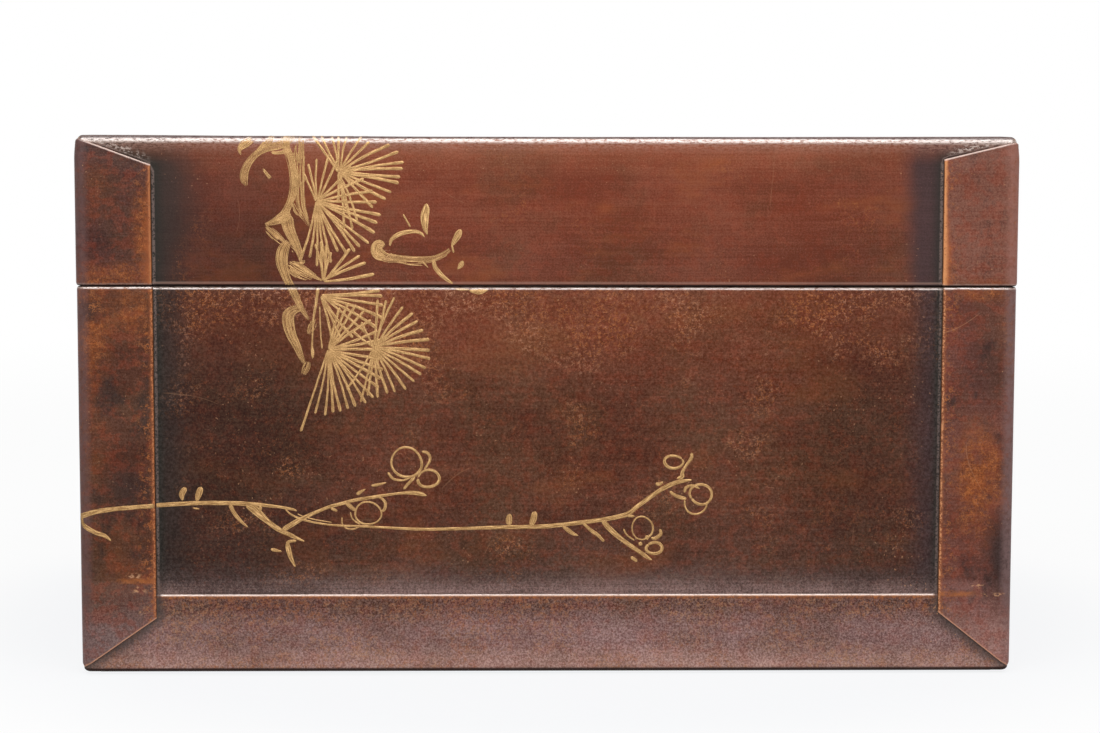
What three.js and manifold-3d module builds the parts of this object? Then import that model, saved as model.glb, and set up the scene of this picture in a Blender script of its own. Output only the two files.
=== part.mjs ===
// A lacquered leather box with a lift-off lid, in the pieces that its maker laid up: boards and
// finger-jointed walls, one sheet of leather moulded down over the lid, a panel of leather on
// each side of the base, bands folded under its foot, mitred straps folded round the corners,
// rim strips that keep the lid in place, and a thin lining inside.
//
// Millimetres, +Z up. The origin lies on the ground under the middle of the box. X runs along
// the long side, and the decorated front faces -Y. Every side piece is drawn as a front piece,
// with its run along X and its outside facing -Y, and is then turned to its own side. "Out" is
// a distance outward from the wooden wall's face, so it is negative inside the wall.

import * as THREE from "three";
import { mergeVertices } from "three/addons/utils/BufferGeometryUtils.js";
import Module from "manifold-3d";

const wasm = await Module();
wasm.setup();

// Overall sizes, measured over the corner straps.
const boxWidth = 360;
const boxDepth = 246;
const baseHeight = 150.1; // ground to the base's upper edge
const lidHeight = 57.2; // lower edge of the lid to its top
const seamGap = 0.3; // between the closed lid and the base
const lidOverhang = 0.2; // how far the lid stands proud of the base on each side

// Layers, from the wood outward.
const glueLine = 0.05; // film of glue between any two layers
const leatherThickness = 1; // the sheet over the lid, and the panels round the base
const bandThickness = 0.6; // bands round the foot of the base
const lidStrapThickness = 0.9;
const baseStrapThickness = 1.2;
const undersideThickness = 1; // the sheet that the box stands on
const liningThickness = 0.4;
const liningGap = 0.2; // between the edges of two linings or flaps

// Wooden carcass.
const baseWallThickness = 8;
const topBoardThickness = 7;
const topBoardTenon = 3; // how far the top board drops between the lid's walls
const floorBoardThickness = 8;
const floorBoardTenon = 4; // how far the floor board rises between the base's walls
const boardFit = 0.3; // round each tenon
const lidFingers = 5; // fingers up each corner of the lid
const baseFingers = 11;
const fingerClearance = 0.1;

// Rim strips inside the base, which the lid drops over.
const rimThickness = 3.5;
const rimRise = 8; // above the base's edge
const rimDepth = 26; // below the base's edge
const rimChamfer = 1;
const lidFit = 0.4; // between the rim strips and the lid's lining

// Rounded edges.
const lidCornerRadius = 2.6; // the lid's leather, in plan
const topEdgeRadius = 2.2;
const lidSeamRadius = 0.8; // where the lid's leather turns in at the seam
const baseSeamRadius = 1.5; // where a base panel does
const strapEndRadius = 0.6;

// Bands round the foot.
const bandTop = 30.6; // ground to a band's upper edge
const bandFlap = 20; // how far a band is folded under the base
const undersideInset = 6; // from the outside of the bands to the edge of the underside sheet

// Corner straps. A leg is the part of a strap that lies on one face. Its end is cut on a slant,
// the mitre, which is deepest at the leg's free edge and runs out to the corner. Depths are
// taken from the top of the lid or from the ground.
const lidStraps = {
  left: { leg: 29.6, mitre: 11 },
  right: { leg: 28.2, mitre: 8.8 },
  short: { leg: 28.8, mitre: 9.8 },
  tip: 1,
};
const baseStraps = {
  left: { leg: 28.8, mitre: 22.1 },
  right: { leg: 27.5, mitre: 24.2 },
  short: { leg: 28, mitre: 23 },
  tip: 3,
};
const strapRelief = 0.3; // from a strap's pared part to the band's edge that it passes over
const strapSkive = 1.5; // height of the slope between a strap's full and pared thickness

// Facets in a quarter turn.
const cornerSteps = 6;
const edgeSteps = 4;

// Distances out to the layers' faces.
const leatherIn = glueLine;
const leatherOut = leatherIn + leatherThickness;
const overLeather = leatherOut + glueLine;
const bandOut = overLeather + bandThickness;
const overBand = bandOut + glueLine;
const lidStrapOut = overLeather + lidStrapThickness;
const baseStrapOut = overLeather + baseStrapThickness;
const lidWallThickness = baseWallThickness + lidOverhang + lidStrapOut - baseStrapOut
  - liningThickness - lidFit;
const cutOverrun = 5; // how far a cut runs past what it removes

// The wood's outer faces, from the middle of the box.
const lidWood = {
  x: boxWidth / 2 - lidStrapOut,
  y: boxDepth / 2 - lidStrapOut,
};
const baseWood = {
  x: boxWidth / 2 - lidOverhang - baseStrapOut,
  y: boxDepth / 2 - lidOverhang - baseStrapOut,
};

// Levels of the base.
const flapBottom = undersideThickness + glueLine;
const flapTop = flapBottom + bandThickness;
const foldCentre = flapBottom + bandOut; // the bands' folds turn about this level
const floorBottom = flapTop + glueLine;
const floorStep = floorBottom + floorBoardThickness - floorBoardTenon;
const floorTop = floorBottom + floorBoardThickness;
const baseWallBottom = floorStep + glueLine;
const baseWallTop = baseHeight - leatherOut;
const rimTop = baseHeight + rimRise;
const rimBottom = baseHeight - rimDepth;

// Levels of the lid.
const lidBottom = baseHeight + seamGap;
const lidTop = lidBottom + lidHeight;
const lidWallBottom = lidBottom + leatherOut;
const topBoardTop = lidTop - leatherOut;
const topBoardBottom = topBoardTop - topBoardThickness;
const topBoardStep = topBoardBottom + topBoardTenon;
const lidWallTop = topBoardStep - glueLine;

function finish(colour, roughness) {
  return new THREE.MeshStandardMaterial({ color: colour, roughness, metalness: 0 });
}
const lidLeather = finish(0x784231, 0.36);
const panelLeather = finish(0x6b3a2c, 0.38);
const strapLeather = finish(0x744534, 0.42);
const bandLeather = finish(0x70504a, 0.45);
const bareWood = finish(0xa9825a, 0.8);
const lacqueredWood = finish(0x241512, 0.35);
const liningPaper = finish(0xc2a878, 0.9);

// Skins a closed solid over outlines of equal length, each a list of points in space, and caps
// the first and the last. The flat outline has the same points in the same order.
function skin(outlines, flatOutline) {
  const count = flatOutline.length;
  const points = outlines.flat();
  const triangles = [];
  for (let ring = 0; ring + 1 < outlines.length; ring++) {
    for (let i = 0; i < count; i++) {
      const a = ring * count + i;
      const b = ring * count + (i + 1) % count;
      triangles.push([a, b, b + count], [a, b + count, a + count]);
    }
  }
  const clockwise = THREE.ShapeUtils.isClockWise(flatOutline);
  const last = (outlines.length - 1) * count;
  for (const [p, b, q] of THREE.ShapeUtils.triangulateShape(flatOutline, [])) {
    const [a, c] = clockwise ? [q, p] : [p, q];
    triangles.push([c, b, a], [last + a, last + b, last + c]);
  }

  // Outlines laid in either direction make the same solid, with its faces turned outward.
  const volume = triangles.reduce((sum, [a, b, c]) => {
    return sum + points[a].dot(new THREE.Vector3().crossVectors(points[b], points[c]));
  }, 0);
  const geometry = new THREE.BufferGeometry().setFromPoints(points);
  geometry.setIndex(triangles.flatMap((corners) => (volume < 0 ? corners.reverse() : corners)));
  geometry.computeVertexNormals();
  return geometry;
}

// The first solid without the others.
function cut(geometry, ...tools) {
  const [body, ...rest] = [geometry, ...tools].map((solid) => {
    const bare = solid.clone();
    bare.deleteAttribute("normal");
    bare.deleteAttribute("uv");
    const merged = mergeVertices(bare);
    return new wasm.Manifold(new wasm.Mesh({
      numProp: 3,
      vertProperties: merged.attributes.position.array,
      triVerts: new Uint32Array(merged.index.array),
    }));
  });
  const mesh = rest.reduce((whole, tool) => whole.subtract(tool), body).getMesh();
  const result = new THREE.BufferGeometry();
  result.setAttribute("position", new THREE.BufferAttribute(mesh.vertProperties, 3));
  result.setIndex(new THREE.BufferAttribute(mesh.triVerts, 1));
  result.computeVertexNormals();
  return result;
}

// Points along a quarter turn in a section, from one angle to the next.
function quarter(out, z, radius, fromQuarter, toQuarter) {
  const points = [];
  for (let step = 0; step <= edgeSteps; step++) {
    const turns = fromQuarter + (toQuarter - fromQuarter) * (step / edgeSteps);
    const angle = turns * (Math.PI / 2);
    points.push(new THREE.Vector2(out + radius * Math.cos(angle), z + radius * Math.sin(angle)));
  }
  return points;
}

function outline(...corners) {
  return corners.map(([a, b]) => new THREE.Vector2(a, b));
}

// A piece of one section, given as out and height, along a front wall. Its half length may
// differ with the distance out, so that its ends can be mitred.
function strip(side, section, halfRunAt) {
  const ends = [-1, 1].map((sign) => section.map((point) => new THREE.Vector3(
    sign * halfRunAt(point.x), -(side.out + point.x), point.y,
  )));
  return skin(ends, section);
}

// Half lengths of a strip whose outer layers are as long as the wall and whose inner part is
// mitred into its neighbours.
function mitred(side, clearance) {
  return (out) => side.run + (out < 0 ? out - clearance : 0);
}

// A plain sheet against the inside of a wall, its ends mitred.
function innerSheet(side, back, thickness, bottom, top) {
  const section = outline([back, bottom], [back, top], [back - thickness, top],
    [back - thickness, bottom]);
  return strip(side, section, mitred(side, liningGap / 2));
}

// A level rectangle whose corners may be round.
function rectangle(halfX, halfY, radius, z) {
  const steps = radius > 0 ? cornerSteps : 0;
  const signs = [[1, 1], [-1, 1], [-1, -1], [1, -1]];
  return signs.flatMap(([signX, signY], corner) => {
    const points = [];
    for (let step = 0; step <= steps; step++) {
      const angle = (corner + (steps ? step / steps : 0)) * (Math.PI / 2);
      points.push(new THREE.Vector3(
        signX * (halfX - radius) + radius * Math.cos(angle),
        signY * (halfY - radius) + radius * Math.sin(angle),
        z,
      ));
    }
    return points;
  });
}

function stack(...rectangles) {
  return skin(rectangles, rectangles[0].map((point) => new THREE.Vector2(point.x, point.y)));
}

function board(halfX, halfY, bottom, top) {
  return stack(rectangle(halfX, halfY, 0, bottom), rectangle(halfX, halfY, 0, top));
}

// A board whose middle, the tenon, stands between the walls and whose edge lies against them.
function tenonBoard(wood, wallThickness, edgeLevel, stepLevel, tenonLevel) {
  const x = wood.x - wallThickness - boardFit;
  const y = wood.y - wallThickness - boardFit;
  return stack(
    rectangle(wood.x, wood.y, 0, edgeLevel),
    rectangle(wood.x, wood.y, 0, stepLevel),
    rectangle(x, y, 0, stepLevel),
    rectangle(x, y, 0, tenonLevel),
  );
}

// A wall with finger joints at both ends. Every second finger reaches the box's outer face, and
// the rest stop at the next wall.
function fingerWall(side, bottom, top, thickness, fingers) {
  const pitch = (top - bottom) / fingers;
  const end = [];
  for (let i = 0; i < fingers; i++) {
    const isLong = (i % 2 === 0) === side.isLong;
    const x = isLong ? side.run : side.run - thickness - fingerClearance;
    const ease = (isLong ? 1 : -1) * (fingerClearance / 2);
    const low = bottom + i * pitch + (i > 0 ? ease : 0);
    const high = bottom + (i + 1) * pitch - (i + 1 < fingers ? ease : 0);
    end.push([x, low], [x, high]);
  }
  const face = outline(...end, ...end.map(([x, z]) => [-x, z]).reverse());
  const layers = [side.out - thickness, side.out].map((distance) => {
    return face.map((point) => new THREE.Vector3(point.x, -distance, point.y));
  });
  return skin(layers, face);
}

// One sheet moulded over the lid: across its top, down its sides, and in under the walls.
function moulding() {
  const ring = (out, z) => {
    const radius = lidCornerRadius - (leatherOut - out);
    return rectangle(lidWood.x + out, lidWood.y + out, radius, z);
  };
  const seamArc = quarter(leatherOut - lidSeamRadius, lidBottom + lidSeamRadius,
    lidSeamRadius, -1, 0);
  const topArc = quarter(leatherOut - topEdgeRadius, lidTop - topEdgeRadius,
    topEdgeRadius, 0, 1);
  const outside = stack(...[...seamArc, ...topArc].map((point) => ring(point.x, point.y)));
  const hollow = board(lidWood.x + leatherIn, lidWood.y + leatherIn,
    lidBottom + leatherThickness, lidTop - leatherThickness);
  const mouth = board(lidWood.x - lidWallThickness, lidWood.y - lidWallThickness,
    lidBottom - cutOverrun, lidBottom + cutOverrun);
  return cut(outside, hollow, mouth);
}

// A side of the base: a sheet on the wall's face that turns in over the wall's upper edge, as
// far as the rim strip.
function panel(side) {
  const lipEnd = -baseWallThickness;
  const lipBottom = baseHeight - leatherThickness;
  const section = [
    ...outline([leatherIn, lipBottom], [leatherIn, foldCentre + glueLine]),
    ...outline([leatherOut, foldCentre + glueLine]),
    ...quarter(leatherOut - baseSeamRadius, baseHeight - baseSeamRadius, baseSeamRadius, 0, 1),
    ...outline([lipEnd, baseHeight], [lipEnd, lipBottom]),
  ];
  return strip(side, section, mitred(side, liningGap / 2));
}

// A band round the foot: up the panel's face, and folded under the floor board.
function band(side) {
  const section = [
    ...outline([overLeather, bandTop]),
    ...quarter(0, foldCentre, overLeather, 0, -1),
    ...outline([-bandFlap, flapTop], [-bandFlap, flapBottom]),
    ...quarter(0, foldCentre, bandOut, -1, 0),
    ...outline([bandOut, bandTop]),
  ];
  return strip(side, section, mitred(side, liningGap / 2));
}

function rimStrip(side) {
  const face = -baseWallThickness - glueLine;
  const section = outline(
    [face, rimBottom],
    [face, rimTop - rimChamfer],
    [face - rimChamfer, rimTop],
    [face - rimThickness, rimTop],
    [face - rimThickness, rimBottom],
  );
  return strip(side, section, mitred(side, fingerClearance / 2));
}

// A strap folded round one corner. Its stations go from the free edge on the long face, round
// the corner, to the free edge on the short face. sectionAt gives the section for the depth at
// which the strap's slanted end lies there.
function strap(corner, wood, strapOut, sizes, sectionAt) {
  const long = corner.x < 0 ? sizes.left : sizes.right;
  const tip = sizes.tip;
  const stations = [{
    x: wood.x + strapOut - long.leg,
    y: wood.y,
    angle: Math.PI / 2,
    depth: long.mitre,
  }];
  for (let step = 0; step <= cornerSteps; step++) {
    const angle = (Math.PI / 2) * (1 - step / cornerSteps);
    stations.push({ x: wood.x, y: wood.y, angle, depth: tip });
  }
  stations.push({
    x: wood.x,
    y: wood.y + strapOut - sizes.short.leg,
    angle: 0,
    depth: sizes.short.mitre,
  });
  const sections = stations.map((at) => sectionAt(at.depth).map((point) => new THREE.Vector3(
    corner.x * (at.x + Math.cos(at.angle) * point.x),
    corner.y * (at.y + Math.sin(at.angle) * point.x),
    point.y,
  )));
  return skin(sections, sectionAt(long.mitre));
}

function lidStrapSection(depth) {
  return [
    ...outline([overLeather, lidBottom]),
    ...quarter(lidStrapOut - strapEndRadius, lidBottom + strapEndRadius, strapEndRadius, -1, 0),
    ...outline([lidStrapOut, lidTop - depth], [overLeather, lidTop - depth]),
  ];
}

// On the base a strap is pared thin where it passes over the bands.
function baseStrapSection(depth) {
  const paredTop = bandTop + strapRelief;
  return [
    ...outline([overBand, depth], [baseStrapOut, depth]),
    ...quarter(baseStrapOut - strapEndRadius, baseHeight - strapEndRadius, strapEndRadius, 0, 1),
    ...outline([overLeather, baseHeight], [overLeather, paredTop + strapSkive]),
    ...outline([overBand, paredTop]),
  ];
}

// The four sides: the turn from the front, and the sizes of the wood there.
function sidesOf(wood) {
  return [
    { name: "front", turn: 0, run: wood.x, out: wood.y, isLong: true },
    { name: "right", turn: Math.PI / 2, run: wood.y, out: wood.x, isLong: false },
    { name: "back", turn: Math.PI, run: wood.x, out: wood.y, isLong: true },
    { name: "left", turn: -Math.PI / 2, run: wood.y, out: wood.x, isLong: false },
  ];
}

const corners = [
  { name: "front_left", x: -1, y: -1 },
  { name: "front_right", x: 1, y: -1 },
  { name: "back_right", x: 1, y: 1 },
  { name: "back_left", x: -1, y: 1 },
];

function piece(name, geometry, material, turn = 0) {
  const mesh = new THREE.Mesh(geometry, material);
  mesh.name = name;
  mesh.rotation.z = turn;
  return mesh;
}

function lidCarcass() {
  const pieces = [piece("lid_top_board",
    tenonBoard(lidWood, lidWallThickness, topBoardTop, topBoardStep, topBoardBottom), bareWood)];
  for (const side of sidesOf(lidWood)) {
    pieces.push(piece(`lid_wall_${side.name}`,
      fingerWall(side, lidWallBottom, lidWallTop, lidWallThickness, lidFingers),
      bareWood, side.turn));
  }
  return pieces;
}

function lidCover() {
  const pieces = [piece("lid_leather", moulding(), lidLeather)];
  for (const corner of corners) {
    pieces.push(piece(`lid_strap_${corner.name}`,
      strap(corner, lidWood, lidStrapOut, lidStraps, lidStrapSection), strapLeather));
  }
  return pieces;
}

function lidLining() {
  const back = -lidWallThickness - glueLine;
  const sheetTop = topBoardBottom - glueLine;
  const x = lidWood.x + back - liningThickness - liningGap;
  const y = lidWood.y + back - liningThickness - liningGap;
  const pieces = [piece("lid_lining_top",
    board(x, y, sheetTop - liningThickness, sheetTop), liningPaper)];
  for (const side of sidesOf(lidWood)) {
    pieces.push(piece(`lid_lining_${side.name}`,
      innerSheet(side, back, liningThickness, lidWallBottom, sheetTop),
      liningPaper, side.turn));
  }
  return pieces;
}

function baseCarcass() {
  const pieces = [piece("base_floor_board",
    tenonBoard(baseWood, baseWallThickness, floorBottom, floorStep, floorTop), bareWood)];
  for (const side of sidesOf(baseWood)) {
    pieces.push(
      piece(`base_wall_${side.name}`,
        fingerWall(side, baseWallBottom, baseWallTop, baseWallThickness, baseFingers),
        bareWood, side.turn),
      piece(`rim_strip_${side.name}`, rimStrip(side), lacqueredWood, side.turn),
    );
  }
  return pieces;
}

function baseCover() {
  const inset = bandOut - undersideInset;
  const pieces = [piece("base_underside",
    board(baseWood.x + inset, baseWood.y + inset, 0, undersideThickness), bandLeather)];
  for (const side of sidesOf(baseWood)) {
    pieces.push(
      piece(`base_panel_${side.name}`, panel(side), panelLeather, side.turn),
      piece(`base_band_${side.name}`, band(side), bandLeather, side.turn),
    );
  }
  for (const corner of corners) {
    pieces.push(piece(`base_strap_${corner.name}`,
      strap(corner, baseWood, baseStrapOut, baseStraps, baseStrapSection), strapLeather));
  }
  return pieces;
}

function baseLining() {
  const back = -baseWallThickness - glueLine;
  const sheetBottom = floorTop + glueLine;
  const x = baseWood.x + back - liningThickness - liningGap;
  const y = baseWood.y + back - liningThickness - liningGap;
  const pieces = [piece("base_lining_floor",
    board(x, y, sheetBottom, sheetBottom + liningThickness), liningPaper)];
  for (const side of sidesOf(baseWood)) {
    pieces.push(piece(`base_lining_${side.name}`,
      innerSheet(side, back, liningThickness, sheetBottom, rimBottom - liningGap),
      liningPaper, side.turn));
  }
  return pieces;
}

const base = new THREE.Group().add(...baseCarcass(), ...baseCover(), ...baseLining());
const lid = new THREE.Group().add(...lidCarcass(), ...lidCover(), ...lidLining());
const leatherBox = new THREE.Group().add(base, lid);

export default leatherBox;
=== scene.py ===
# %% [markdown]
# A lacquered leather box with a lift-off lid, seen square on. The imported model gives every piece
# its place and its size. This script gives the box its looks: the leather with its folds, pared
# straps and worn edges, and the pine and the plum branch that are brushed on it in gold.

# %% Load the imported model
import math
import random

import bmesh
import bpy
import numpy as np
from mathutils import Matrix, Vector, noise


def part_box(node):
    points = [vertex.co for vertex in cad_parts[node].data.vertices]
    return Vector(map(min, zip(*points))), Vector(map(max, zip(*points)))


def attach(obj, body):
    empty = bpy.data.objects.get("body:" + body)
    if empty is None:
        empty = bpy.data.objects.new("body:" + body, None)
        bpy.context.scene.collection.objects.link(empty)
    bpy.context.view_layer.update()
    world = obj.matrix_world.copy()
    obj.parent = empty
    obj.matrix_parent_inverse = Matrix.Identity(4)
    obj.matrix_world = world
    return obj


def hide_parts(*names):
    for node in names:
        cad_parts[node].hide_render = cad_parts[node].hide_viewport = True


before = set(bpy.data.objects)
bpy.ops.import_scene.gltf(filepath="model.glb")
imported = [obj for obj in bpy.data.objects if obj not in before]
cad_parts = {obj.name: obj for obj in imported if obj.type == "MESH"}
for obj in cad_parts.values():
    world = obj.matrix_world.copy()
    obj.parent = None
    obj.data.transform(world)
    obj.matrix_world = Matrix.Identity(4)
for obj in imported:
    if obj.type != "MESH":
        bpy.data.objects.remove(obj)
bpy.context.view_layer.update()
MM = 0.001

# %% [markdown]
# The photograph shows one long side from straight ahead, level with the top of the lid. The sides
# lean in a little towards the foot, so the camera is tipped down. Its place was worked out from
# how much the outline narrows, which also says how far off it stands: about a metre.

# %% Place the camera
PHOTO_WIDTH = 1100
FOCAL_PIXELS = 2468
CAMERA_PLACE = Vector((-0.0165, -1.0623, 0.2068))
CAMERA_YAW = math.radians(-1.05)
CAMERA_PITCH = math.radians(-5.302)
CAMERA_ROLL = math.radians(0.12)


def place_camera():
    data = bpy.data.cameras.new("camera")
    data.sensor_width = 36
    data.lens = FOCAL_PIXELS * data.sensor_width / PHOTO_WIDTH
    data.clip_end = 100
    camera = bpy.data.objects.new("camera", data)
    bpy.context.collection.objects.link(camera)
    turned = (Matrix.Rotation(CAMERA_YAW, 4, "Z")
              @ Matrix.Rotation(math.pi / 2 + CAMERA_PITCH, 4, "X")
              @ Matrix.Rotation(CAMERA_ROLL, 4, "Z"))
    camera.matrix_world = Matrix.Translation(CAMERA_PLACE) @ turned
    bpy.context.scene.camera = camera
    return camera


camera = place_camera()
print("lens: %.1f mm" % camera.data.lens)

# %% [markdown]
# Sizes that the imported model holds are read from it, so nothing has to be fitted. What is finer
# than the solids, such as how thin a strap is pared, is written here.

# %% Read the box's sizes
def lowest(node):
    return Vector(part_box(node)[0])


def highest(node):
    return Vector(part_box(node)[1])


TOP = highest("lid_leather").z
LID_FOOT = lowest("lid_leather").z
RIM = highest("base_panel_front").z
PANEL_TAIL = lowest("base_panel_front").z
BAND_TOP = highest("base_band_front").z + 0.7 * MM  # cut a little unevenly, so higher in front
BAND_FOOT = lowest("base_band_front").z
LID_HALF = highest("lid_leather").xy
HALF = {"lid": LID_HALF, "base": Vector((highest("base_panel_right").x, highest("base_panel_back").y))}
PROUD = {part: highest(part + "_strap_back_right").x - HALF[part].x for part in HALF}
BAND_PROUD = highest("base_band_right").x - HALF["base"].x

LEATHER = 1.0 * MM
WOOD_IN = 1.05 * MM  # the wood's face, behind the leather's
GLUE = 0.05 * MM
WALL = 8.0 * MM
LID_WALL = 7.1 * MM
FLAP = 20 * MM
PLAN_RADIUS = 2.6 * MM
print("straps stand proud by %.2f mm on the lid and %.2f mm on the base"
      % (PROUD["lid"] / MM, PROUD["base"] / MM))

# %% [markdown]
# Each side of the box is the same drawing: a run to the right, a distance out from the leather's
# face, and a height. A face turns such a drawing to its own side, so each piece is written once
# and made four times.

# %% Describe the four sides
class Face:
    """One side of the lid or the base, and where its drawing lies in space."""

    def __init__(self, name, run, out, half):
        self.name = name
        self.run = np.array(run, float)
        self.out = np.array(out, float)
        self.half_run = float(abs(self.run[:2]) @ np.array(half))
        self.face_out = float(abs(self.out[:2]) @ np.array(half))

    def place(self, run, out, height):
        """Points in space for arrays of run, out and height."""
        run, out, height = np.broadcast_arrays(run, out, height)
        return (run[..., None] * self.run + (out + self.face_out)[..., None] * self.out
                + height[..., None] * np.array((0.0, 0.0, 1.0)))


def faces_of(half):
    return [
        Face("front", (1, 0, 0), (0, -1, 0), half),
        Face("right", (0, 1, 0), (1, 0, 0), half),
        Face("back", (-1, 0, 0), (0, 1, 0), half),
        Face("left", (0, -1, 0), (-1, 0, 0), half),
    ]


FACES = {part: faces_of(half) for part, half in HALF.items()}
CORNERS = {"front_left": (-1, -1), "front_right": (1, -1), "back_right": (1, 1), "back_left": (-1, 1)}
print("faces:", [face.name for face in FACES["base"]])

# %% [markdown]
# A strap's leg is the part that lies on one face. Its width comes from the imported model. The
# depth of its slanted end, the mitre, is written here, because a node's box doesn't show it.

# %% Describe the straps
MITRE = {
    "lid": {"left": 11.35 * MM, "right": 8.8 * MM, "short": 9.8 * MM},
    "base": {"left": 22.1 * MM, "right": 24.2 * MM, "short": 23 * MM},
}
TIP = {  # from a strap's tip to the lid's top, or to the ground
    "lid": {"left": 1.25 * MM, "right": 2.2 * MM},
    "base": {"left": 3 * MM, "right": 3 * MM},
}
WIDER = {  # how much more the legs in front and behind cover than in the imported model
    "lid": {"left": -0.35 * MM, "right": 1.0 * MM},
    "base": {"left": 0.45 * MM, "right": 1.2 * MM},
}


def hand_of(corner):
    """The end of the box that a corner lies at, left or right."""
    return corner.split("_")[1]


def leg_width(part, corner, axis):
    """Width of a strap's leg, over the folded corner, along an axis of space."""
    node = "%s_strap_%s" % (part, corner)
    by_hand = WIDER[part][hand_of(corner)] * (axis == 0)
    return (highest(node) - lowest(node))[axis] + by_hand


def strap_edges(part, face):
    """Where the two straps on a face have their free edges along its run, their mitres and tips."""
    axis = 0 if face.run[0] else 1
    edges = []
    for corner, signs in CORNERS.items():
        if signs[1 - axis] == np.sign(face.out[1 - axis]):
            end = signs[axis] * face.run[axis]
            edge = face.half_run + PROUD[part] - leg_width(part, corner, axis)
            hand = hand_of(corner)
            edges.append((end * edge, MITRE[part][hand if axis == 0 else "short"], TIP[part][hand]))
    return sorted(edges)


front_edges = strap_edges("base", FACES["base"][0])
print("front strap edges, mm:", [round(edge / MM, 1) for edge, *_ in front_edges])

# %% [markdown]
# Hand-laid leather is never quite flat: the light on it wanders. A slow wave and a short one move
# the outer surface by a tenth of a millimetre, always inward, so the box keeps its size. Smooth
# noise does this better than a modifier, because it leaves the seams and the edges where they are.

# %% Lay waves in the leather
SLOW_WAVE = 0.10 * MM
SHORT_WAVE = 0.03 * MM
SLOW_COUNT, SHORT_COUNT = 22, 90  # waves to a metre
SEED = {"lid": 3, "base": 8}


def noise_at(points, scale, seed):
    """Smooth noise from about -1 to 1 at each point of an array."""
    flat = points.reshape(-1, 3)
    shift = Vector((seed, seed * 0.7, seed * 1.3))
    values = np.array([noise.noise(Vector(point) * scale + shift) for point in flat])
    return values.reshape(points.shape[:-1])


def wave(points, seed):
    """How far the leather lies in from its full height, as an array of negative lengths."""
    slow = SLOW_WAVE * (noise_at(points, SLOW_COUNT, seed) - 1)
    return slow + SHORT_WAVE * (noise_at(points, SHORT_COUNT, seed + 50) - 1)


def lines(low, high, step, edge_lines=()):
    """Places from low to high, a step apart, with closer ones at the given distances in."""
    inner = max(edge_lines, default=0)
    count = max(2, int(round((high - low - 2 * inner) / step)) + 1)
    places = list(np.linspace(low + inner, high - inner, count))
    places += [low + d for d in edge_lines if d < inner] + [high - d for d in edge_lines if d < inner]
    places += [low, high]
    return np.unique(np.round(places, 7))


def path_distance(run, height, path):
    """Distance from each drawn point to a path of straight stretches."""
    nearest = np.full(np.broadcast(run, height).shape, np.inf)
    for (ax, az), (bx, bz) in zip(path, path[1:]):
        dx, dz = bx - ax, bz - az
        share = np.clip(((run - ax) * dx + (height - az) * dz) / (dx * dx + dz * dz), 0, 1)
        nearest = np.minimum(nearest, np.hypot(run - ax - share * dx, height - az - share * dz))
    return nearest


print("lines over 10 mm:", (lines(0, 10 * MM, 4 * MM, (0.5 * MM, 1 * MM)) / MM).round(2))

# %% [markdown]
# Most pieces are one section carried along a path: a strap round its corner, a band along the
# foot. The points of all the sections make one closed skin, with a cap at each end. Marks, such
# as the distance to a cut edge, go into the mesh as attributes, and the materials read them.

# %% Skin a piece over its sections
FAR = 200.0  # a mark, in millimetres, where no such edge is near
MARKS = ("cut", "mitre", "under", "foot", "seam", "fold", "along", "across")
CREASE = 38  # degrees past which an edge is drawn sharp
MERGE = 0.5e-6


def make_piece(name, points, polygons, marks, material, body, nodes=()):
    """A mesh object from its points and faces, riding on a body."""
    mesh = bpy.data.meshes.new(name)
    mesh.from_pydata([tuple(point) for point in points], [], polygons)
    for mark in MARKS:
        values = np.broadcast_to(np.asarray(marks.get(mark, FAR), np.float32), len(points))
        mesh.attributes.new(mark, "FLOAT", "POINT").data.foreach_set("value", values)
    skin = bmesh.new()
    skin.from_mesh(mesh)
    bmesh.ops.remove_doubles(skin, verts=skin.verts, dist=MERGE)
    bmesh.ops.dissolve_degenerate(skin, edges=skin.edges, dist=MERGE)
    bmesh.ops.recalc_face_normals(skin, faces=skin.faces)
    if skin.calc_volume(signed=True) < 0:
        bmesh.ops.reverse_faces(skin, faces=skin.faces)
    open_edges = sum(1 for edge in skin.edges if not edge.is_manifold)
    if open_edges:
        print("warning:", name, "has", open_edges, "open edges")
    skin.to_mesh(mesh)
    skin.free()
    mesh.polygons.foreach_set("use_smooth", [True] * len(mesh.polygons))
    mesh.set_sharp_from_angle(angle=math.radians(CREASE))
    mesh.materials.append(material)
    piece = bpy.data.objects.new(name, mesh)
    bpy.context.collection.objects.link(piece)
    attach(piece, body)
    if nodes:
        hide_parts(*nodes)
    return piece


def ring_faces(rings, count):
    """Faces between closed rings of points that follow one another."""
    faces = []
    for near in range(0, (rings - 1) * count, count):
        for i in range(count):
            j = (i + 1) % count
            faces.append((near + i, near + j, near + count + j, near + count + i))
    return faces


def tube_faces(rings, count):
    """Faces of a closed tube of sections, with a cap at each end."""
    last = (rings - 1) * count
    caps = [tuple(range(count)), tuple(last + i for i in reversed(range(count)))]
    return ring_faces(rings, count) + caps


def swept(name, sections, marks, material, body, nodes=()):
    """A closed piece over an array of sections: stations by points by three."""
    stations, count = sections.shape[:2]
    flat_marks = {mark: np.broadcast_to(values, (stations, count)).reshape(-1)
                  for mark, values in marks.items()}
    return make_piece(name, sections.reshape(-1, 3), tube_faces(stations, count), flat_marks,
                      material, body, nodes)


def report(kind, pieces):
    print("%s: %d pieces, %d faces" % (kind, len(pieces), sum(len(p.data.polygons) for p in pieces)))

# %% [markdown]
# A finish is a network of shader nodes. Written node by node it hides what it does, so two small
# helpers come first: a value that adds its Math nodes when a sum is written on it, and a finish
# whose one method adds any other node.

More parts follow.
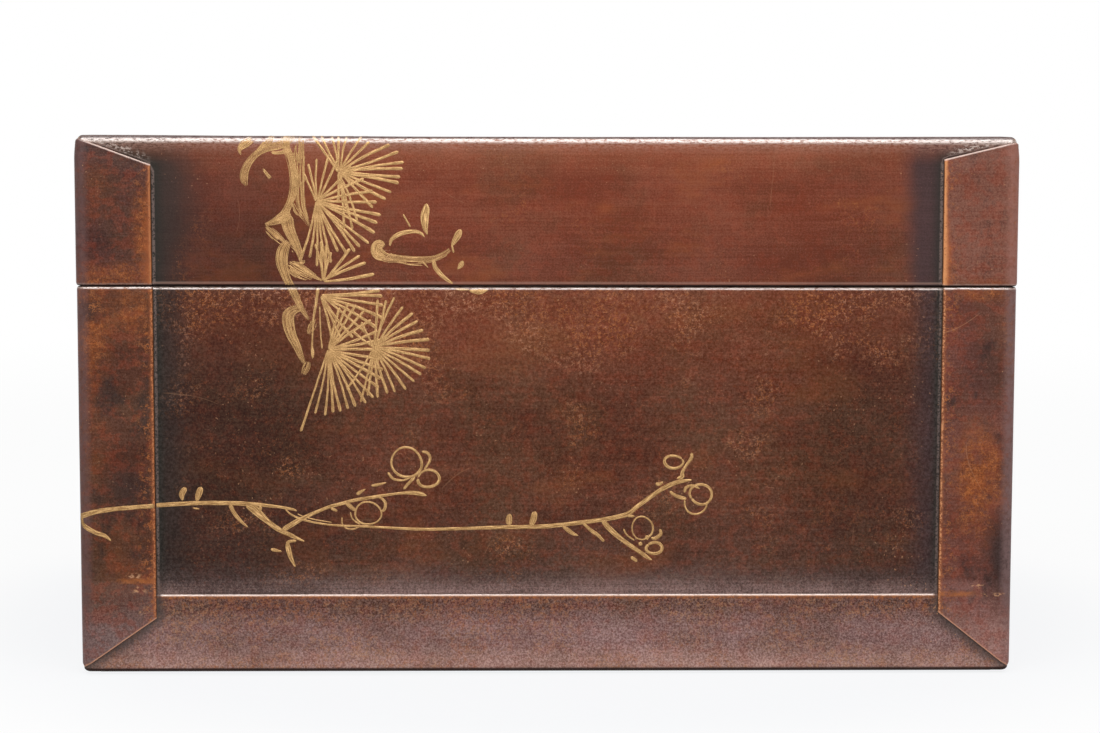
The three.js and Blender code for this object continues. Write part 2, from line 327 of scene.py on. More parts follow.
# %% Write shader maths as sums
class Value:
    """A shader socket that can be used in a sum."""

    def __init__(self, finish, socket):
        self.finish = finish
        self.socket = socket

    def join(self, operation, *numbers):
        return self.finish.join(operation, *numbers)

    def __add__(self, other):
        return self.join("ADD", self, other)

    def __sub__(self, other):
        return self.join("SUBTRACT", self, other)

    def __rsub__(self, other):
        return self.join("SUBTRACT", other, self)

    def __mul__(self, other):
        return self.join("MULTIPLY", self, other)

    def __abs__(self):
        return self.join("ABSOLUTE", self)

    def __or__(self, other):
        """Two masks laid together: the larger value of the two."""
        return self.join("MAXIMUM", self, other)

    def step(self, low, high):
        """0 below low, 1 above high, and smooth between. With low above high it falls instead."""
        settings = {"interpolation_type": "SMOOTHSTEP"}
        return self.finish.node("ShaderNodeMapRange", settings, {0: self, 1: low, 2: high})


class Finish:
    """The nodes of a material or a world, with one method that adds them."""

    def __init__(self, owner):
        self.owner = owner
        self.tone = None  # the colour laid so far
        owner.use_nodes = True
        self.tree = owner.node_tree
        self.tree.nodes.clear()

    def node(self, kind, settings, sockets, output=0):
        """Adds a node, applies its settings, fills its sockets and gives one output."""
        made = self.tree.nodes.new(kind)
        for name, value in settings.items():
            setattr(made, name, value)
        for key, value in sockets.items():
            if isinstance(value, Value):
                self.tree.links.new(value.socket, made.inputs[key])
            else:
                made.inputs[key].default_value = value
        return Value(self, made.outputs[output])

    def join(self, operation, *numbers):
        """Adds a Math node."""
        return self.node("ShaderNodeMath", {"operation": operation}, dict(enumerate(numbers)))

    def mark(self, name):
        """The distance, in millimetres, that a piece's mesh holds under this name."""
        return self.node("ShaderNodeAttribute", {"attribute_name": name}, {}, "Fac")

    def place(self, stretch=(1, 1, 1), shift=(0, 0, 0)):
        """The place on the box, stretched by a factor for each axis."""
        spot = self.node("ShaderNodeTexCoord", {}, {}, "Object")
        settings = {"operation": "MULTIPLY_ADD"}
        return self.node("ShaderNodeVectorMath", settings, {0: spot, 1: stretch, 2: shift})

    def axis(self, name):
        """The place on the box along one axis."""
        return self.node("ShaderNodeSeparateXYZ", {}, {0: self.place()}, name)

    def patch(self, place, reach):
        """1 at a place in millimetres, fading to 0 at a reach along each axis."""
        stretch = [1 / (length * MM) for length in reach]
        shift = [-middle / length for middle, length in zip(place, reach)]
        settings = {"operation": "LENGTH"}
        away = self.node("ShaderNodeVectorMath", settings, {0: self.place(stretch, shift)}, "Value")
        return away.step(1, 0.15)

    def patches(self, places):
        """Soft patches at chosen places, each by its own share."""
        total = 0.0
        for place, reach, share in places:
            total = self.patch(place, reach) * share + total
        return total

    def scaled(self, tone, factor):
        """A colour made lighter or darker by a factor."""
        vector = tone if isinstance(tone, Value) else tone[:3]
        return self.node("ShaderNodeVectorMath", {"operation": "SCALE"}, {0: vector, "Scale": factor})

    def cloud(self, scale, stretch=(1, 1, 1), shift=(0, 0, 0), detail=3, roughness=0.55, bend=0):
        """Smooth noise from 0 to 1. The scale is in waves to a metre."""
        sockets = {"Vector": self.place(stretch, shift), "Scale": scale, "Detail": detail,
                   "Roughness": roughness, "Distortion": bend}
        return self.node("ShaderNodeTexNoise", {}, sockets, "Fac")

    def mix(self, factor, low, high):
        """A colour between two colours."""
        sockets = {0: factor, 6: low, 7: high}
        return self.node("ShaderNodeMix", {"data_type": "RGBA"}, sockets, 2)

    def lay(self, share, tone):
        """Lays a colour over the finish so far, by a share from 0 to 1."""
        self.tone = self.mix(share, self.tone, tone)

    def bump(self, relief, reach, strength=1.0):
        """A relief in the surface. The reach is its height in metres."""
        return self.node("ShaderNodeBump", {}, {"Strength": strength, "Distance": reach, "Height": relief})

    def close(self, shader, kind="ShaderNodeOutputMaterial"):
        """Ends the network with a shader, and gives the material or the world."""
        output = self.tree.nodes.new(kind)
        self.tree.links.new(shader.socket, output.inputs["Surface"])
        return self.owner

    def finish(self, rough, normal, gloss, coat=(0.0, 0.03), metal=0.0):
        """Ends the network with the surface shader for solid things, in the colour laid so far."""
        sockets = {"Base Color": self.tone, "Metallic": metal, "Roughness": rough, "Normal": normal,
                   "Specular IOR Level": gloss, "Coat Weight": coat[0], "Coat Roughness": coat[1]}
        return self.close(self.node("ShaderNodeBsdfPrincipled", {}, sockets))


def new_finish(name):
    return Finish(bpy.data.materials.new(name))


def count_nodes(material):
    print(material.name + ":", len(material.node_tree.nodes), "nodes")


def colour(red, green, blue):
    """A colour for a socket, from the shares of light that it sends back."""
    return (red, green, blue, 1.0)


print("a mask that fades over 2 mm is written as: distance.step(2, 0)")

# %% [markdown]
# The leather was coated with lacquer by brush, over and over, and then handled for many years. So
# its colour has layers: slow clouds and fine level streaks from the brush, black lacquer that
# pooled beside the straps and above the band, flecks where the coat has worn through to orange
# leather, pale specks and fine scratches. Each layer is a mask of its own, used by every leather.

# %% Write the marks of brush and wear, and the painted glints and shade
EYE = 2.2  # the power that turns even steps of light to the eye into light
SOOT = colour(0.016, 0.018, 0.014)  # lacquer pooled black
GAP_SHADE = colour(0.022, 0.011, 0.009)  # painted shade, in a seam gap and under the band's fold
BARE = colour(0.42, 0.135, 0.035)  # orange leather, worn bare
SOAKED = colour(0.23, 0.060, 0.013)  # lacquer worn thin over it
TAN = colour(0.52, 0.27, 0.14)
RUBBED_GLINT = colour(0.56, 0.43, 0.37)  # a rounded edge, rubbed pale, with a painted glint
GLUE_LINE_GLINT = colour(0.165, 0.115, 0.100)  # the grey line of old glue along a strap, lit as a painted highlight on its bevel
LEATHER_GLOSS = 0.05  # of the leather itself, which is low because the lacquer gives the shine
COAT_ROUGH = 0.22


def facing_up(made):
    """1 on the lid's top, and 0 on the sides."""
    normal = made.node("ShaderNodeTexCoord", {}, {}, "Normal")
    return made.node("ShaderNodeSeparateXYZ", {}, {0: normal}, "Z").step(0.5, 0.9)


def streaks(made, seed):
    """Fine streaks left by the brush: level on the sides, and lengthwise on the top."""
    level = made.cloud(1, (16, 16, 1150), (seed, seed, 0), detail=3, roughness=0.7)
    lengthwise = made.cloud(1, (16, 1150, 3), (seed, 0, seed), detail=3, roughness=0.7)
    return level + (lengthwise - level) * facing_up(made)


def brushed(made, seed):
    """Clouds, streaks and crossed grain together, from 0 to 1."""
    clouds = made.cloud(24, (1, 1, 1.9), (seed, 0, seed), detail=5, roughness=0.62)
    crossed = made.cloud(1, (1000, 1000, 110), (0, seed, 0), detail=2)
    fine = made.cloud(1500, shift=(0, seed, 0), detail=2, roughness=0.85)
    total = clouds * 0.30 + streaks(made, seed) * 0.22 + crossed * 0.08 + fine * 0.40
    return total.step(0.40, 0.60)


def textured(made, tone, share, swing):
    """A tone that a share makes lighter or darker by even steps to the eye, and by no more hue."""
    to_eye = made.node("ShaderNodeGamma", {}, {"Color": tone, "Gamma": 1 / EYE})
    moved = made.node("ShaderNodeVectorMath", {"operation": "ADD"}, {0: to_eye, 1: (share - 0.5) * swing})
    return made.node("ShaderNodeGamma", {}, {"Color": moved, "Gamma": EYE})


def coated(made, mean, seed, ruddiness=0.18, swing=0.09):
    """Lacquer of a mean tone, lighter and darker by its brushing, with olive and ruddy patches."""
    olive = made.cloud(31, shift=(seed, seed, 2), detail=4, roughness=0.6).step(0.44, 0.64)
    ruddy = made.cloud(190, (1, 1, 1.3), (2, seed, seed), detail=3, roughness=0.7).step(0.46, 0.62)
    tone = made.mix(olive * 0.30, mean, colour(0.085, 0.045, 0.018))
    tone = made.mix(ruddy * ruddiness, tone, colour(0.29, 0.050, 0.018))
    return textured(made, tone, brushed(made, seed), swing)


def peppered(made, tone, swing, scale=1300):
    """A tone broken into pale dots and dark pits."""
    dots = made.cloud(scale, shift=(0, 2, 6), detail=3, roughness=0.8)
    return textured(made, tone, dots.step(0.36, 0.64), swing)


SHADE_LEFT, SHADE_RIGHT = (-0.062, -0.112), (0.088, 0.125)  # from where to where it darkens, in metres
LONG_SIDES = (0.095, 0.118)


def shaded(made, tone, at_left, at_right):
    """A tone darkened by a share towards the ends of the long sides."""
    run = made.axis("X")
    dark = run.step(*SHADE_LEFT) * at_left + run.step(*SHADE_RIGHT) * at_right
    return made.scaled(tone, 1 - dark * abs(made.axis("Y")).step(*LONG_SIDES))


def flecks(made, where, width=0.045, scale=900):
    """Broken winding threads, where the coat has worn through."""
    worm = abs(made.cloud(scale, detail=2, roughness=0.6, bend=0.5) - 0.5).step(width, 0.3 * width)
    broken = made.cloud(scale / 2, shift=(2, 2, 2), detail=2, roughness=0.7).step(0.47, 0.58)
    return worm * broken * where


def beads(made):
    """Fine noise that breaks a line into beads."""
    return made.cloud(1250, shift=(4, 4, 1), detail=2, roughness=0.75)


def specks(made):
    """Pale specks, crowded in places."""
    crowded = made.cloud(32, shift=(1, 5, 1), detail=2).step(0.40, 0.70)
    return made.cloud(1150, shift=(3, 1, 4), detail=0).step(0.79, 0.84) * crowded


def scratches(made, seed):
    """Short curved scratches: a few stretches of the level lines of a slow noise."""
    curve = abs(made.cloud(14, shift=(seed, seed, 0), detail=0) - 0.5).step(0.0016, 0.0005)
    return curve * made.cloud(60, shift=(0, seed, seed), detail=0).step(0.60, 0.68)


def grain(made, pebble, layers, reach):
    """The leather's pebbled grain, with streaks and worn layers in relief."""
    return made.bump(made.cloud(1250, detail=2, roughness=0.5) * pebble + layers, reach)


def close_leather(made, normal, shine, rough):
    return made.finish(rough, normal, LEATHER_GLOSS, (shine, COAT_ROUGH))


print("black lacquer sends back %.1f%% of the light" % (SOOT[1] * 100))

# %% [markdown]
# The lid's leather is the brightest, and lighter towards its upper edge. A finish lays its colours one
# over another, from the broadest to the finest: lacquer, pools, wear, specks, then the edges with their
# painted glints and painted shade.

# %% Finish the lid's leather
DULL_SHINE = 0.12
# the colour of the painted dark reflection along the lid's top edge
CORNER_SHADE = colour(0.075, 0.045, 0.047)
LEFT_TO_RIGHT = (-0.03, 0.03)  # from where to where a look changes, in metres, as in all pairs below
LID_LOW, LID_HIGH = (0.158, 0.180), (0.188, 0.204)
LID_SHADE = (0.170, 0.196)
POOL_NARROW, POOL_FAINT = (0.176, 0.152), (0.1955, 0.2015)
SLANT_LEVEL = (0.1965, 0.1985)  # of the straps' slanted ends
SPARKLE_FROM = (0.149, 0.160)
# the painted dark reflection just below the top's edge, and the height that parts it from the seam's
# painted shade
BRIM_REFLECTION = (TOP - 1.6 * MM, TOP - 1.1 * MM)
PAINTED_DARK_LEVEL = (0.17, 0.18)


def edge_glaze(made, seed):
    """Crinkled noise for the rounded edges, which breaks up their glint."""
    return made.cloud(1500, (0.35, 0.35, 1), (0, seed, 0), detail=3, roughness=0.75)


def on_right(made):
    """0 on the box's left half and 1 on its right half."""
    return made.axis("X").step(*LEFT_TO_RIGHT)


def pool_tone(made, grained):
    """Pooled lacquer: black-green at the box's left and purple at its right."""
    tone = made.mix(on_right(made), colour(0.033, 0.021, 0.017), colour(0.052, 0.028, 0.029))
    return made.scaled(tone, grained * 0.5 + 0.75)


def scattered(made, places):
    """Soft patches at chosen places, broken into grains."""
    return made.patches(places) * made.cloud(1000, (0.5, 1, 1), detail=3, roughness=0.7).step(0.52, 0.62)


def lid_finish():
    made = new_finish("lid_leather")
    under, seam, fold = made.mark("under"), made.mark("seam"), made.mark("fold")
    height = made.axis("Z")
    mean = made.mix(height.step(*LID_LOW), colour(0.150, 0.038, 0.018), colour(0.182, 0.042, 0.018))
    mean = made.mix(height.step(*LID_HIGH), mean, colour(0.262, 0.074, 0.034))
    right = on_right(made)
    mean = made.mix(under.step(58, 14) * (1 - right) * 0.30, mean, colour(0.062, 0.026, 0.020))
    mean = made.mix(facing_up(made), mean, colour(0.135, 0.036, 0.017))
    made.tone = coated(made, mean, 2.0)
    warm = made.cloud(26, (1, 1, 2.4), (4, 0, 0), detail=4, roughness=0.6).step(0.52, 0.72)
    made.lay(warm * 0.45, colour(0.30, 0.078, 0.020))
    made.tone = shaded(made, made.tone, 0.44 - height.step(*LID_SHADE) * 0.30, 0.15)
    grained = brushed(made, 6.0)
    wander = made.cloud(38, (1, 1, 0.6), (0, 6, 0), detail=3) * 7 - 3.5
    by_slant = height.step(*SLANT_LEVEL)
    narrowed = 1.5 - height.step(0.152, 0.176) * 0.5 - right * height.step(*POOL_NARROW) * 0.4
    pooled = ((under + wander) * narrowed).step(25 - right * 7, right * 4 + 4)
    pooled = pooled * (1 - height.step(*POOL_FAINT) * 0.35)
    made.lay(pooled * 0.92, pool_tone(made, grained))
    made.lay((under + wander * 0.3).step(6, 0.5) * (0.75 - by_slant * 0.15), SOOT)
    worn = flecks(made, made.cloud(48, shift=(7, 0, 0), detail=2).step(0.54, 0.74)) * (1 - pooled)
    made.lay(worn * 0.4, BARE)
    # the grey glue line along a strap's edge, and a second pale line by its slanted end: painted
    # highlights on their bevels
    glue_glint = under.step(0.1, 0.4) * under.step(1.6, 1.0) * beads(made).step(0.34, 0.54) * (1 - by_slant)
    second = under.step(0.6, 0.8) * under.step(1.2, 0.9) * by_slant * beads(made).step(0.34, 0.5)
    made.lay((glue_glint | second) * 0.9, GLUE_LINE_GLINT)
    scored = specks(made) * 0.5 | scratches(made, 5.0) * 0.12
    made.lay(scored, TAN)
    glaze = edge_glaze(made, 2.0)
    # Paler below the top edge: partly rubbed wear, and partly a painted sheen where the top glint fades
    # out.
    handled = fold.step(8.0, 2.4) * glaze.step(0.36, 0.60)
    made.lay(handled * 0.45, colour(0.48, 0.26, 0.20))
    # Painted glints along the rounded top edge and in the worn band above a strap's slanted end, and on
    # the lower lip a painted reflection of the floor.
    along_slant = under.step(0.7, 1.3) * under.step(4.8, 1.8) * by_slant
    crumbs = made.cloud(1000, (0.5, 1, 1), detail=3, roughness=0.7).step(0.49, 0.60)
    sparkle = along_slant * abs(made.axis("X")).step(*SPARKLE_FROM) * crumbs
    top_glint = fold.step(3.6, 2.4) * (glaze.step(0.36, 0.54) * 0.85 + 0.15)
    lip_reflection = seam.step(0.5, 0.9) * seam.step(1.8, 1.0) * 0.4
    edge = top_glint | sparkle | lip_reflection
    made.lay(edge * 0.85, made.mix(lip_reflection.step(0.1, 0.3), RUBBED_GLINT, colour(0.42, 0.24, 0.18)))
    # Painted shade in the seam gap, and a painted dark reflection along the very top of the rounded edge.
    brim_reflection = height.step(*BRIM_REFLECTION) * fold.step(6, 2.5)
    painted_dark = seam.step(0.7, 0.35) | brim_reflection * 0.85
    made.lay(painted_dark * 0.9, made.mix(height.step(*PAINTED_DARK_LEVEL), GAP_SHADE, CORNER_SHADE))
    edge = edge * (1 - painted_dark)
    normal = grain(made, 0.55, streaks(made, 2.0) * 0.4 + glaze * edge * 0.8 - scored * 0.4, 0.14 * MM)
    rough = 0.42 - edge * 0.12 + worn * 0.15 + facing_up(made) * (1 - edge) * 0.42
    return close_leather(made, normal, edge * 0.7 + DULL_SHINE, rough)


lid_leather = lid_finish()
count_nodes(lid_leather)

# %% [markdown]
# The panels of the base are darker and worn more. Above the band the lacquer turns grey-purple under a
# painted sheen, the floor's reflection, which grows lighter towards the band, and winding flecks of bare
# leather show between the dark pools.

# %% Finish the panels' leather
PANEL_HIGH, PANEL_LOW = (0.100, 0.143), (0.080, 0.036)
PANEL_SHADE, FLECKED = (0.118, 0.150), (0.112, 0.148)
# the height of the painted seam shade along the top of the rim
RIM_LINE = (RIM - 0.12 * MM, RIM + 0.02 * MM)


def panel_finish():
    made = new_finish("panel_leather")
    under, seam, foot = made.mark("under"), made.mark("seam"), made.mark("foot")
    height = made.axis("Z")
    mean = made.mix(height.step(*PANEL_HIGH), colour(0.090, 0.027, 0.012), colour(0.158, 0.040, 0.016))
    mean = made.mix(height.step(*PANEL_LOW), mean, colour(0.080, 0.033, 0.020))
    made.tone = coated(made, mean, 9.0)
    warm = made.cloud(27, (1, 1, 2.2), (9, 0, 0), detail=4, roughness=0.6).step(0.50, 0.72)
    made.lay(warm * 0.35, colour(0.21, 0.062, 0.017))
    made.tone = shaded(made, made.tone, 0.52 - height.step(*PANEL_SHADE) * 0.12, 0.33)
    grained = brushed(made, 5.0)
    wander = made.cloud(42, (1, 1, 0.6), (0, 3, 0), detail=3) * 7 - 3.5
    right = on_right(made)
    beside = (under + wander).step(19 - right * 3, 3.5)
    above = (foot + wander).step(15, 0) * 0.85
    # painted sheen, the floor's reflection: grey-purple above the band, and lighter towards it
    floor_sheen = made.mix(foot.step(9, 0), colour(0.092, 0.060, 0.054), colour(0.205, 0.130, 0.118))
    made.lay(beside * 0.85, made.scaled(pool_tone(made, grained), 0.78))
    made.lay(above, shaded(made, made.scaled(floor_sheen, grained * 1.1 + 0.45), 0.12, 0.15))
    made.lay((under + wander * 0.3).step(5, 0.5) * (0.8 - foot.step(16, 3) * 0.45), SOOT)
    pooled = beside | above
    near_top = height.step(*FLECKED) * 0.16
    patches = (made.cloud(33, (1, 1, 1.3), (2, 0, 0), detail=4) + near_top).step(0.52, 0.70)
    worn = flecks(made, patches, 0.08, 1200) * (1 - pooled * 0.8)
    made.lay(worn * 0.65, made.mix(grained.step(0.45, 0.75), BARE, colour(0.50, 0.235, 0.135)))
    made.tone = peppered(made, made.tone, 0.075, 900)
    dots = made.cloud(640, shift=(0, 2, 6), detail=3, roughness=0.8)
    made.lay(dots.step(0.58, 0.70) * (1 - pooled) * 0.35, colour(0.30, 0.078, 0.028))
    # the grey glue line beside a strap, a painted highlight on its bevel
    glue_glint = under.step(0.05, 0.4) * under.step(1.6 - right * 0.1, 0.9)
    made.lay(glue_glint * beads(made).step(0.34, 0.60) * (0.95 - right * 0.1), GLUE_LINE_GLINT)
    scored = specks(made) * 0.5 | scratches(made, 1.0) * 0.14
    made.lay(scored, TAN)
    glaze = edge_glaze(made, 7.0)
    # painted glint on the rim's rounded edge
    edge = seam.step(1.6, 1.0) * (glaze.step(0.36, 0.54) * 0.8 + 0.2)
    made.lay(edge * 0.9, RUBBED_GLINT)
    # painted shade of the seam gap, along the very top of the rim
    painted_dark = height.step(*RIM_LINE)
    made.lay(painted_dark * 0.5, GAP_SHADE)
    edge = edge * (1 - painted_dark * 0.6)
    normal = grain(made, 0.6, streaks(made, 9.0) * 0.4 + glaze * edge * 0.8 - scored * 0.4, 0.16 * MM)
    return close_leather(made, normal, edge * 0.75 + DULL_SHINE, 0.42 - edge * 0.12 + worn * 0.15)


panel_leather = panel_finish()
count_nodes(panel_leather)

# %% [markdown]
# Hands lift a box by its corners, so the straps have worn most: bare orange along the free edges and at
# the corner, with black lacquer left between. The broad stains are listed one by one, each a soft patch at
# a place on the box, because noise would not put them where hands do.

# %% Finish the straps' leather
STRAP_DARK = colour(0.022, 0.015, 0.014)
SEAM_LEVEL = (0.1500, 0.1506)
STRAP_SIDES = (-0.05, 0.05)
SHEEN_HIGH, SHEEN_LOW = (0.0385, 0.034), (0.034, 0.006)
DARK_ABOVE, LID_BARED = (0.018, 0.034), (0.186, 0.158)
SPECKLED, ROUNDED_REFLECTION = (0.040, 0.010), (0.014, 0.036)
CORNER_X, CORNER_Y = (0.1735, 0.1775), (0.1160, 0.1205)  # where a strap turns round the corner
STAINS = {
    # place and reach in millimetres: x, y, height; and how worn
    "left corner, high": ((-178, -121, 134), (16, 60, 34), 0.95),
    "left corner, middle": ((-176, -121, 92), (12, 60, 26), 0.35),
    "left middle, low": ((-163, -121, 44), (12, 30, 22), 0.25),
    "left middle, high": ((-158, -121, 140), (12, 40, 16), 0.60),
    "right middle": ((166, -121, 74), (15, 40, 34), 1.0),
    "right corner, high": ((180, -121, 132), (9, 60, 26), 0.85),
    "right top": ((168, -121, 149), (16, 40, 6), 0.85),
    "right lid corner": ((179, -121, 182), (5, 60, 36), 0.60),
    "left lid corner": ((-172, -121, 186), (14, 60, 18), 0.25),
    "left lid edge": ((-152, -121, 172), (9, 30, 26), 0.85),
    "left lid foot": ((-160, -121, 154), (22, 30, 9), 0.60),
    "back left": ((-168, 121, 74), (16, 40, 40), 0.75),
    "back right": ((172, 121, 110), (14, 50, 44), 0.75),
}
DARKS = [
    # place and reach in millimetres; and how much black lacquer stayed
    ((176, -121, 46), (11, 60, 28), 0.85),
    ((168, -121, 118), (14, 30, 24), 0.35),
    ((-175, -121, 141), (9, 60, 6), 0.75),
    ((-160, -121, 72), (14, 60, 14), 0.60),
]
SCUFFS = [
    # place and reach in millimetres; and how much the coat is scuffed
    ((-159, -123, 38.5), (4, 9, 2), 1),
    ((-157, -123, 33), (4, 9, 2.5), 1),
    ((-155, -123, 25), (3.5, 9, 2.5), 1),
    ((172, -123, 31), (8, 9, 1.2), 1),
    ((166, -123, 34.5), (4, 9, 1.5), 1),
]


def strap_finish():
    made = new_finish("strap_leather")
    cut, mitre, seam, ridge = (made.mark(name) for name in ("cut", "mitre", "seam", "foot"))
    height = made.axis("Z")
    side = made.axis("X").step(*STRAP_SIDES)
    on_lid = height.step(*SEAM_LEVEL)
    base_mean = made.mix(side, colour(0.084, 0.029, 0.015), colour(0.136, 0.046, 0.032))
    # painted sheen towards the ground, the floor's reflection, which makes the straps greyer and more
    # purple
    foot_sheen_mean = made.mix(side, colour(0.185, 0.118, 0.110), colour(0.365, 0.190, 0.172))
    foot_sheen = height.step(*SHEEN_HIGH) * 0.25 + height.step(*SHEEN_LOW) * 0.75
    base_mean = made.mix(foot_sheen, base_mean, foot_sheen_mean)
    lid_mean = made.mix(side, colour(0.074, 0.025, 0.018), colour(0.186, 0.069, 0.045))
    made.tone = coated(made, made.mix(on_lid, base_mean, lid_mean), 14.0, 0.28)
    mottle = made.cloud(110, (1, 1, 1.2), (0, 0, 8), detail=5, roughness=0.75)
    stain = made.patches(STAINS.values())
    soaked = stain * (mottle.step(0.38, 0.60) * 0.75 + 0.25)
    made.lay(soaked * 0.9, made.scaled(SOAKED, brushed(made, 3.0) + 0.6))
    dark = made.cloud(70, (1, 1, 0.7), (5, 0, 0), detail=5, roughness=0.75).step(0.50, 0.70)
    stayed = made.patches(DARKS)
    dark = dark * height.step(*DARK_ABOVE) * (0.7 - soaked * 0.5) | stayed
    made.lay(dark, made.scaled(STRAP_DARK, brushed(made, 8.0) * 0.8 + 0.6))
    beside_cut = cut.step(9, 0.8)
    where = (beside_cut | stain.step(0.1, 0.8) * 0.8) * mottle.step(0.40, 0.56)
    worn = flecks(made, where, 0.09)
    made.lay(worn * 0.8, BARE)
    made.tone = peppered(made, made.tone, height.step(*SPECKLED) * 0.07 + 0.055)
    nibbled = made.cloud(520, detail=4, roughness=0.75)
    lid_right = on_lid * side
    low_lid = on_lid * height.step(*LID_BARED)
    thin = (cut + nibbled * 1.6 - 0.8).step(low_lid * 2.6 + 2.2, 0.5)
    thin = thin * (lid_right * 0.2 + low_lid * 0.15 + 0.5)
    made.lay(thin, made.mix(lid_right, colour(0.33, 0.093, 0.030), colour(0.40, 0.105, 0.030)))
    line = (cut + nibbled * 1.4 - 0.7).step(lid_right * (low_lid + 0.4) + 1.25, 0.45)
    line = line * beads(made).step(0.44 - on_lid * 0.14, 0.58 - on_lid * 0.14)
    line_tone = made.mix(side, colour(0.58, 0.215, 0.080), colour(0.74, 0.33, 0.15))
    line_tone = made.mix(on_lid, line_tone, colour(0.46, 0.165, 0.062))
    made.lay(line * 0.95, made.mix(lid_right, line_tone, colour(0.72, 0.30, 0.12)))
    made.lay(cut.step(0.3, 0.08) * 0.7, colour(0.060, 0.022, 0.012))
    # the slanted end: bare orange on the base, and on the lid a pale line, a painted highlight on its
    # bevel
    slant = (mitre + nibbled * 0.5 - 0.25).step(0.75 - on_lid * 0.1, 0.15) * 0.85
    made.lay(slant, made.mix(on_lid, colour(0.62, 0.31, 0.19), colour(0.80, 0.58, 0.50)))
    ridge_end = (cut + nibbled * 8 - 4).step(19, 9)
    over_band = (ridge + nibbled * 3 - 1.5).step(1.7, 0.3) * ridge_end * nibbled.step(0.36, 0.5)
    made.lay(over_band * 0.7, BARE)
    # painted reflection on the rounded upright corner: darker at the left, pale mauve at the right
    rounding = abs(made.axis("X")).step(*CORNER_X) * abs(made.axis("Y")).step(*CORNER_Y)
    corner_reflection = made.mix(side, colour(0.130, 0.070, 0.066), colour(0.190, 0.115, 0.110))
    corner_reflection = made.mix(lid_right, corner_reflection, colour(0.300, 0.138, 0.108))
    rounding = rounding * (height.step(*ROUNDED_REFLECTION) * 0.7 + 0.3)
    made.lay(rounding * (nibbled.step(0.3, 0.6) * 0.5 + 0.3), corner_reflection)
    scored = specks(made) * 0.6 | scratches(made, 11.0) * 0.25
    scored = scored | scattered(made, SCUFFS)
    made.lay(scored, TAN)
    glaze = edge_glaze(made, 4.0)
    # painted glint on the rounded seam edge, then painted shade in the seam gap
    edge = seam.step(1.3, 0.5) * (glaze.step(0.36, 0.56) * 0.8 + 0.2) * (1 - on_lid * 0.6)
    made.lay(edge * 0.8, RUBBED_GLINT)
    painted_dark = seam.step(on_lid * 0.2 + 0.4, on_lid * 0.2 + 0.1) * 0.9
    made.lay(painted_dark, GAP_SHADE)
    edge = edge * (1 - painted_dark)
    relief = streaks(made, 14.0) * 0.4 + worn * 0.5 + nibbled * (edge + line) * 0.9 - scored * 0.4
    normal = grain(made, 0.6, relief, 0.16 * MM)
    return close_leather(made, normal, edge * 0.7 + DULL_SHINE, 0.42 - edge * 0.1)


strap_leather = strap_finish()
count_nodes(strap_leather)

# %% [markdown]
# The band round the foot is scuffed most and polished least. Towards the ground a painted sheen, the white
# floor's reflection, makes it greyer and more purple, and it is flecked with orange and tan all along.

# %% Finish the band's leather
def foot_finish():
    made = new_finish("foot_leather")
    cut, under, rise = made.mark("cut"), made.mark("under"), made.mark("fold")
    # painted sheen, the floor's reflection: lighter, greyer and more purple towards the ground
    mean = made.mix(rise.step(28, 17), colour(0.122, 0.058, 0.047), colour(0.245, 0.138, 0.127))
    mean = made.mix(rise.step(14, 3), mean, colour(0.370, 0.214, 0.182))
    made.tone = peppered(made, shaded(made, coated(made, mean, 21.0), 0.10, 0.10), 0.19)
    grained = brushed(made, 12.0)
    pooled = (under + made.cloud(45, detail=3) * 4 - 2).step(5.5, 0.3) * 0.8
    made.lay(pooled, made.scaled(colour(0.050, 0.040, 0.036), grained * 0.5 + 0.75))
    patches = made.cloud(46, (1, 1, 1.5), (6, 0, 0), detail=5, roughness=0.7)
    near_edge = cut.step(12, 3) * 0.10 + rise.step(9, 2) * 0.08
    worn = flecks(made, (patches + near_edge).step(0.42, 0.62), 0.11, 1400) * (1 - pooled)
    made.lay(worn * 0.48, made.mix(grained.step(0.35, 0.75), BARE, TAN))
    nibbled = made.cloud(520, detail=4, roughness=0.75)
    fringe = (cut + nibbled * 2.4 - 1.2).step(2.2, 1.2) * (1 - pooled)
    made.lay(fringe * 0.7, colour(0.19, 0.062, 0.026))
    bared = fringe * beads(made).step(0.50, 0.60)
    made.lay(bared * 0.8, BARE)
    # painted glint on the band's rounded top edge, rubbed pale
    edge = cut.step(1.15, 0.6) * under.step(1.0, 2.4) * (beads(made).step(0.34, 0.5) * 0.4 + 0.55)
    made.lay(edge * 0.72, made.mix(cut.step(0.2, 0.7), RUBBED_GLINT, colour(0.66, 0.36, 0.23)))
    scored = specks(made) * 0.6 | scratches(made, 17.0) * 0.25
    made.lay(scored, TAN)
    # painted shade on the fold under the box
    below = rise.step(3.0, 2.1)
    made.lay(below * 0.95, GAP_SHADE)
    relief = streaks(made, 21.0) * 0.4 + worn * 0.5 + nibbled * edge * 0.8 - scored * 0.4
    normal = grain(made, 0.7, relief, 0.18 * MM)
    return close_leather(made, normal, (edge * 0.65 + 0.1) * (1 - below), 0.45 - edge * 0.1)


foot_leather = foot_finish()
count_nodes(foot_leather)

# %% [markdown]
# The gold is powder strewn on wet lacquer, so it is less bright than a sheet of metal and its
# sheen is broad. The brush left ridges along each stroke, and here and there too little gold to
# hide the brown. Two marks, along a stroke and across it, let both follow the brush.

# %% Finish the gold
GILT_DARK, GILT_BRIGHT = colour(0.205, 0.104, 0.032), colour(0.69, 0.425, 0.178)


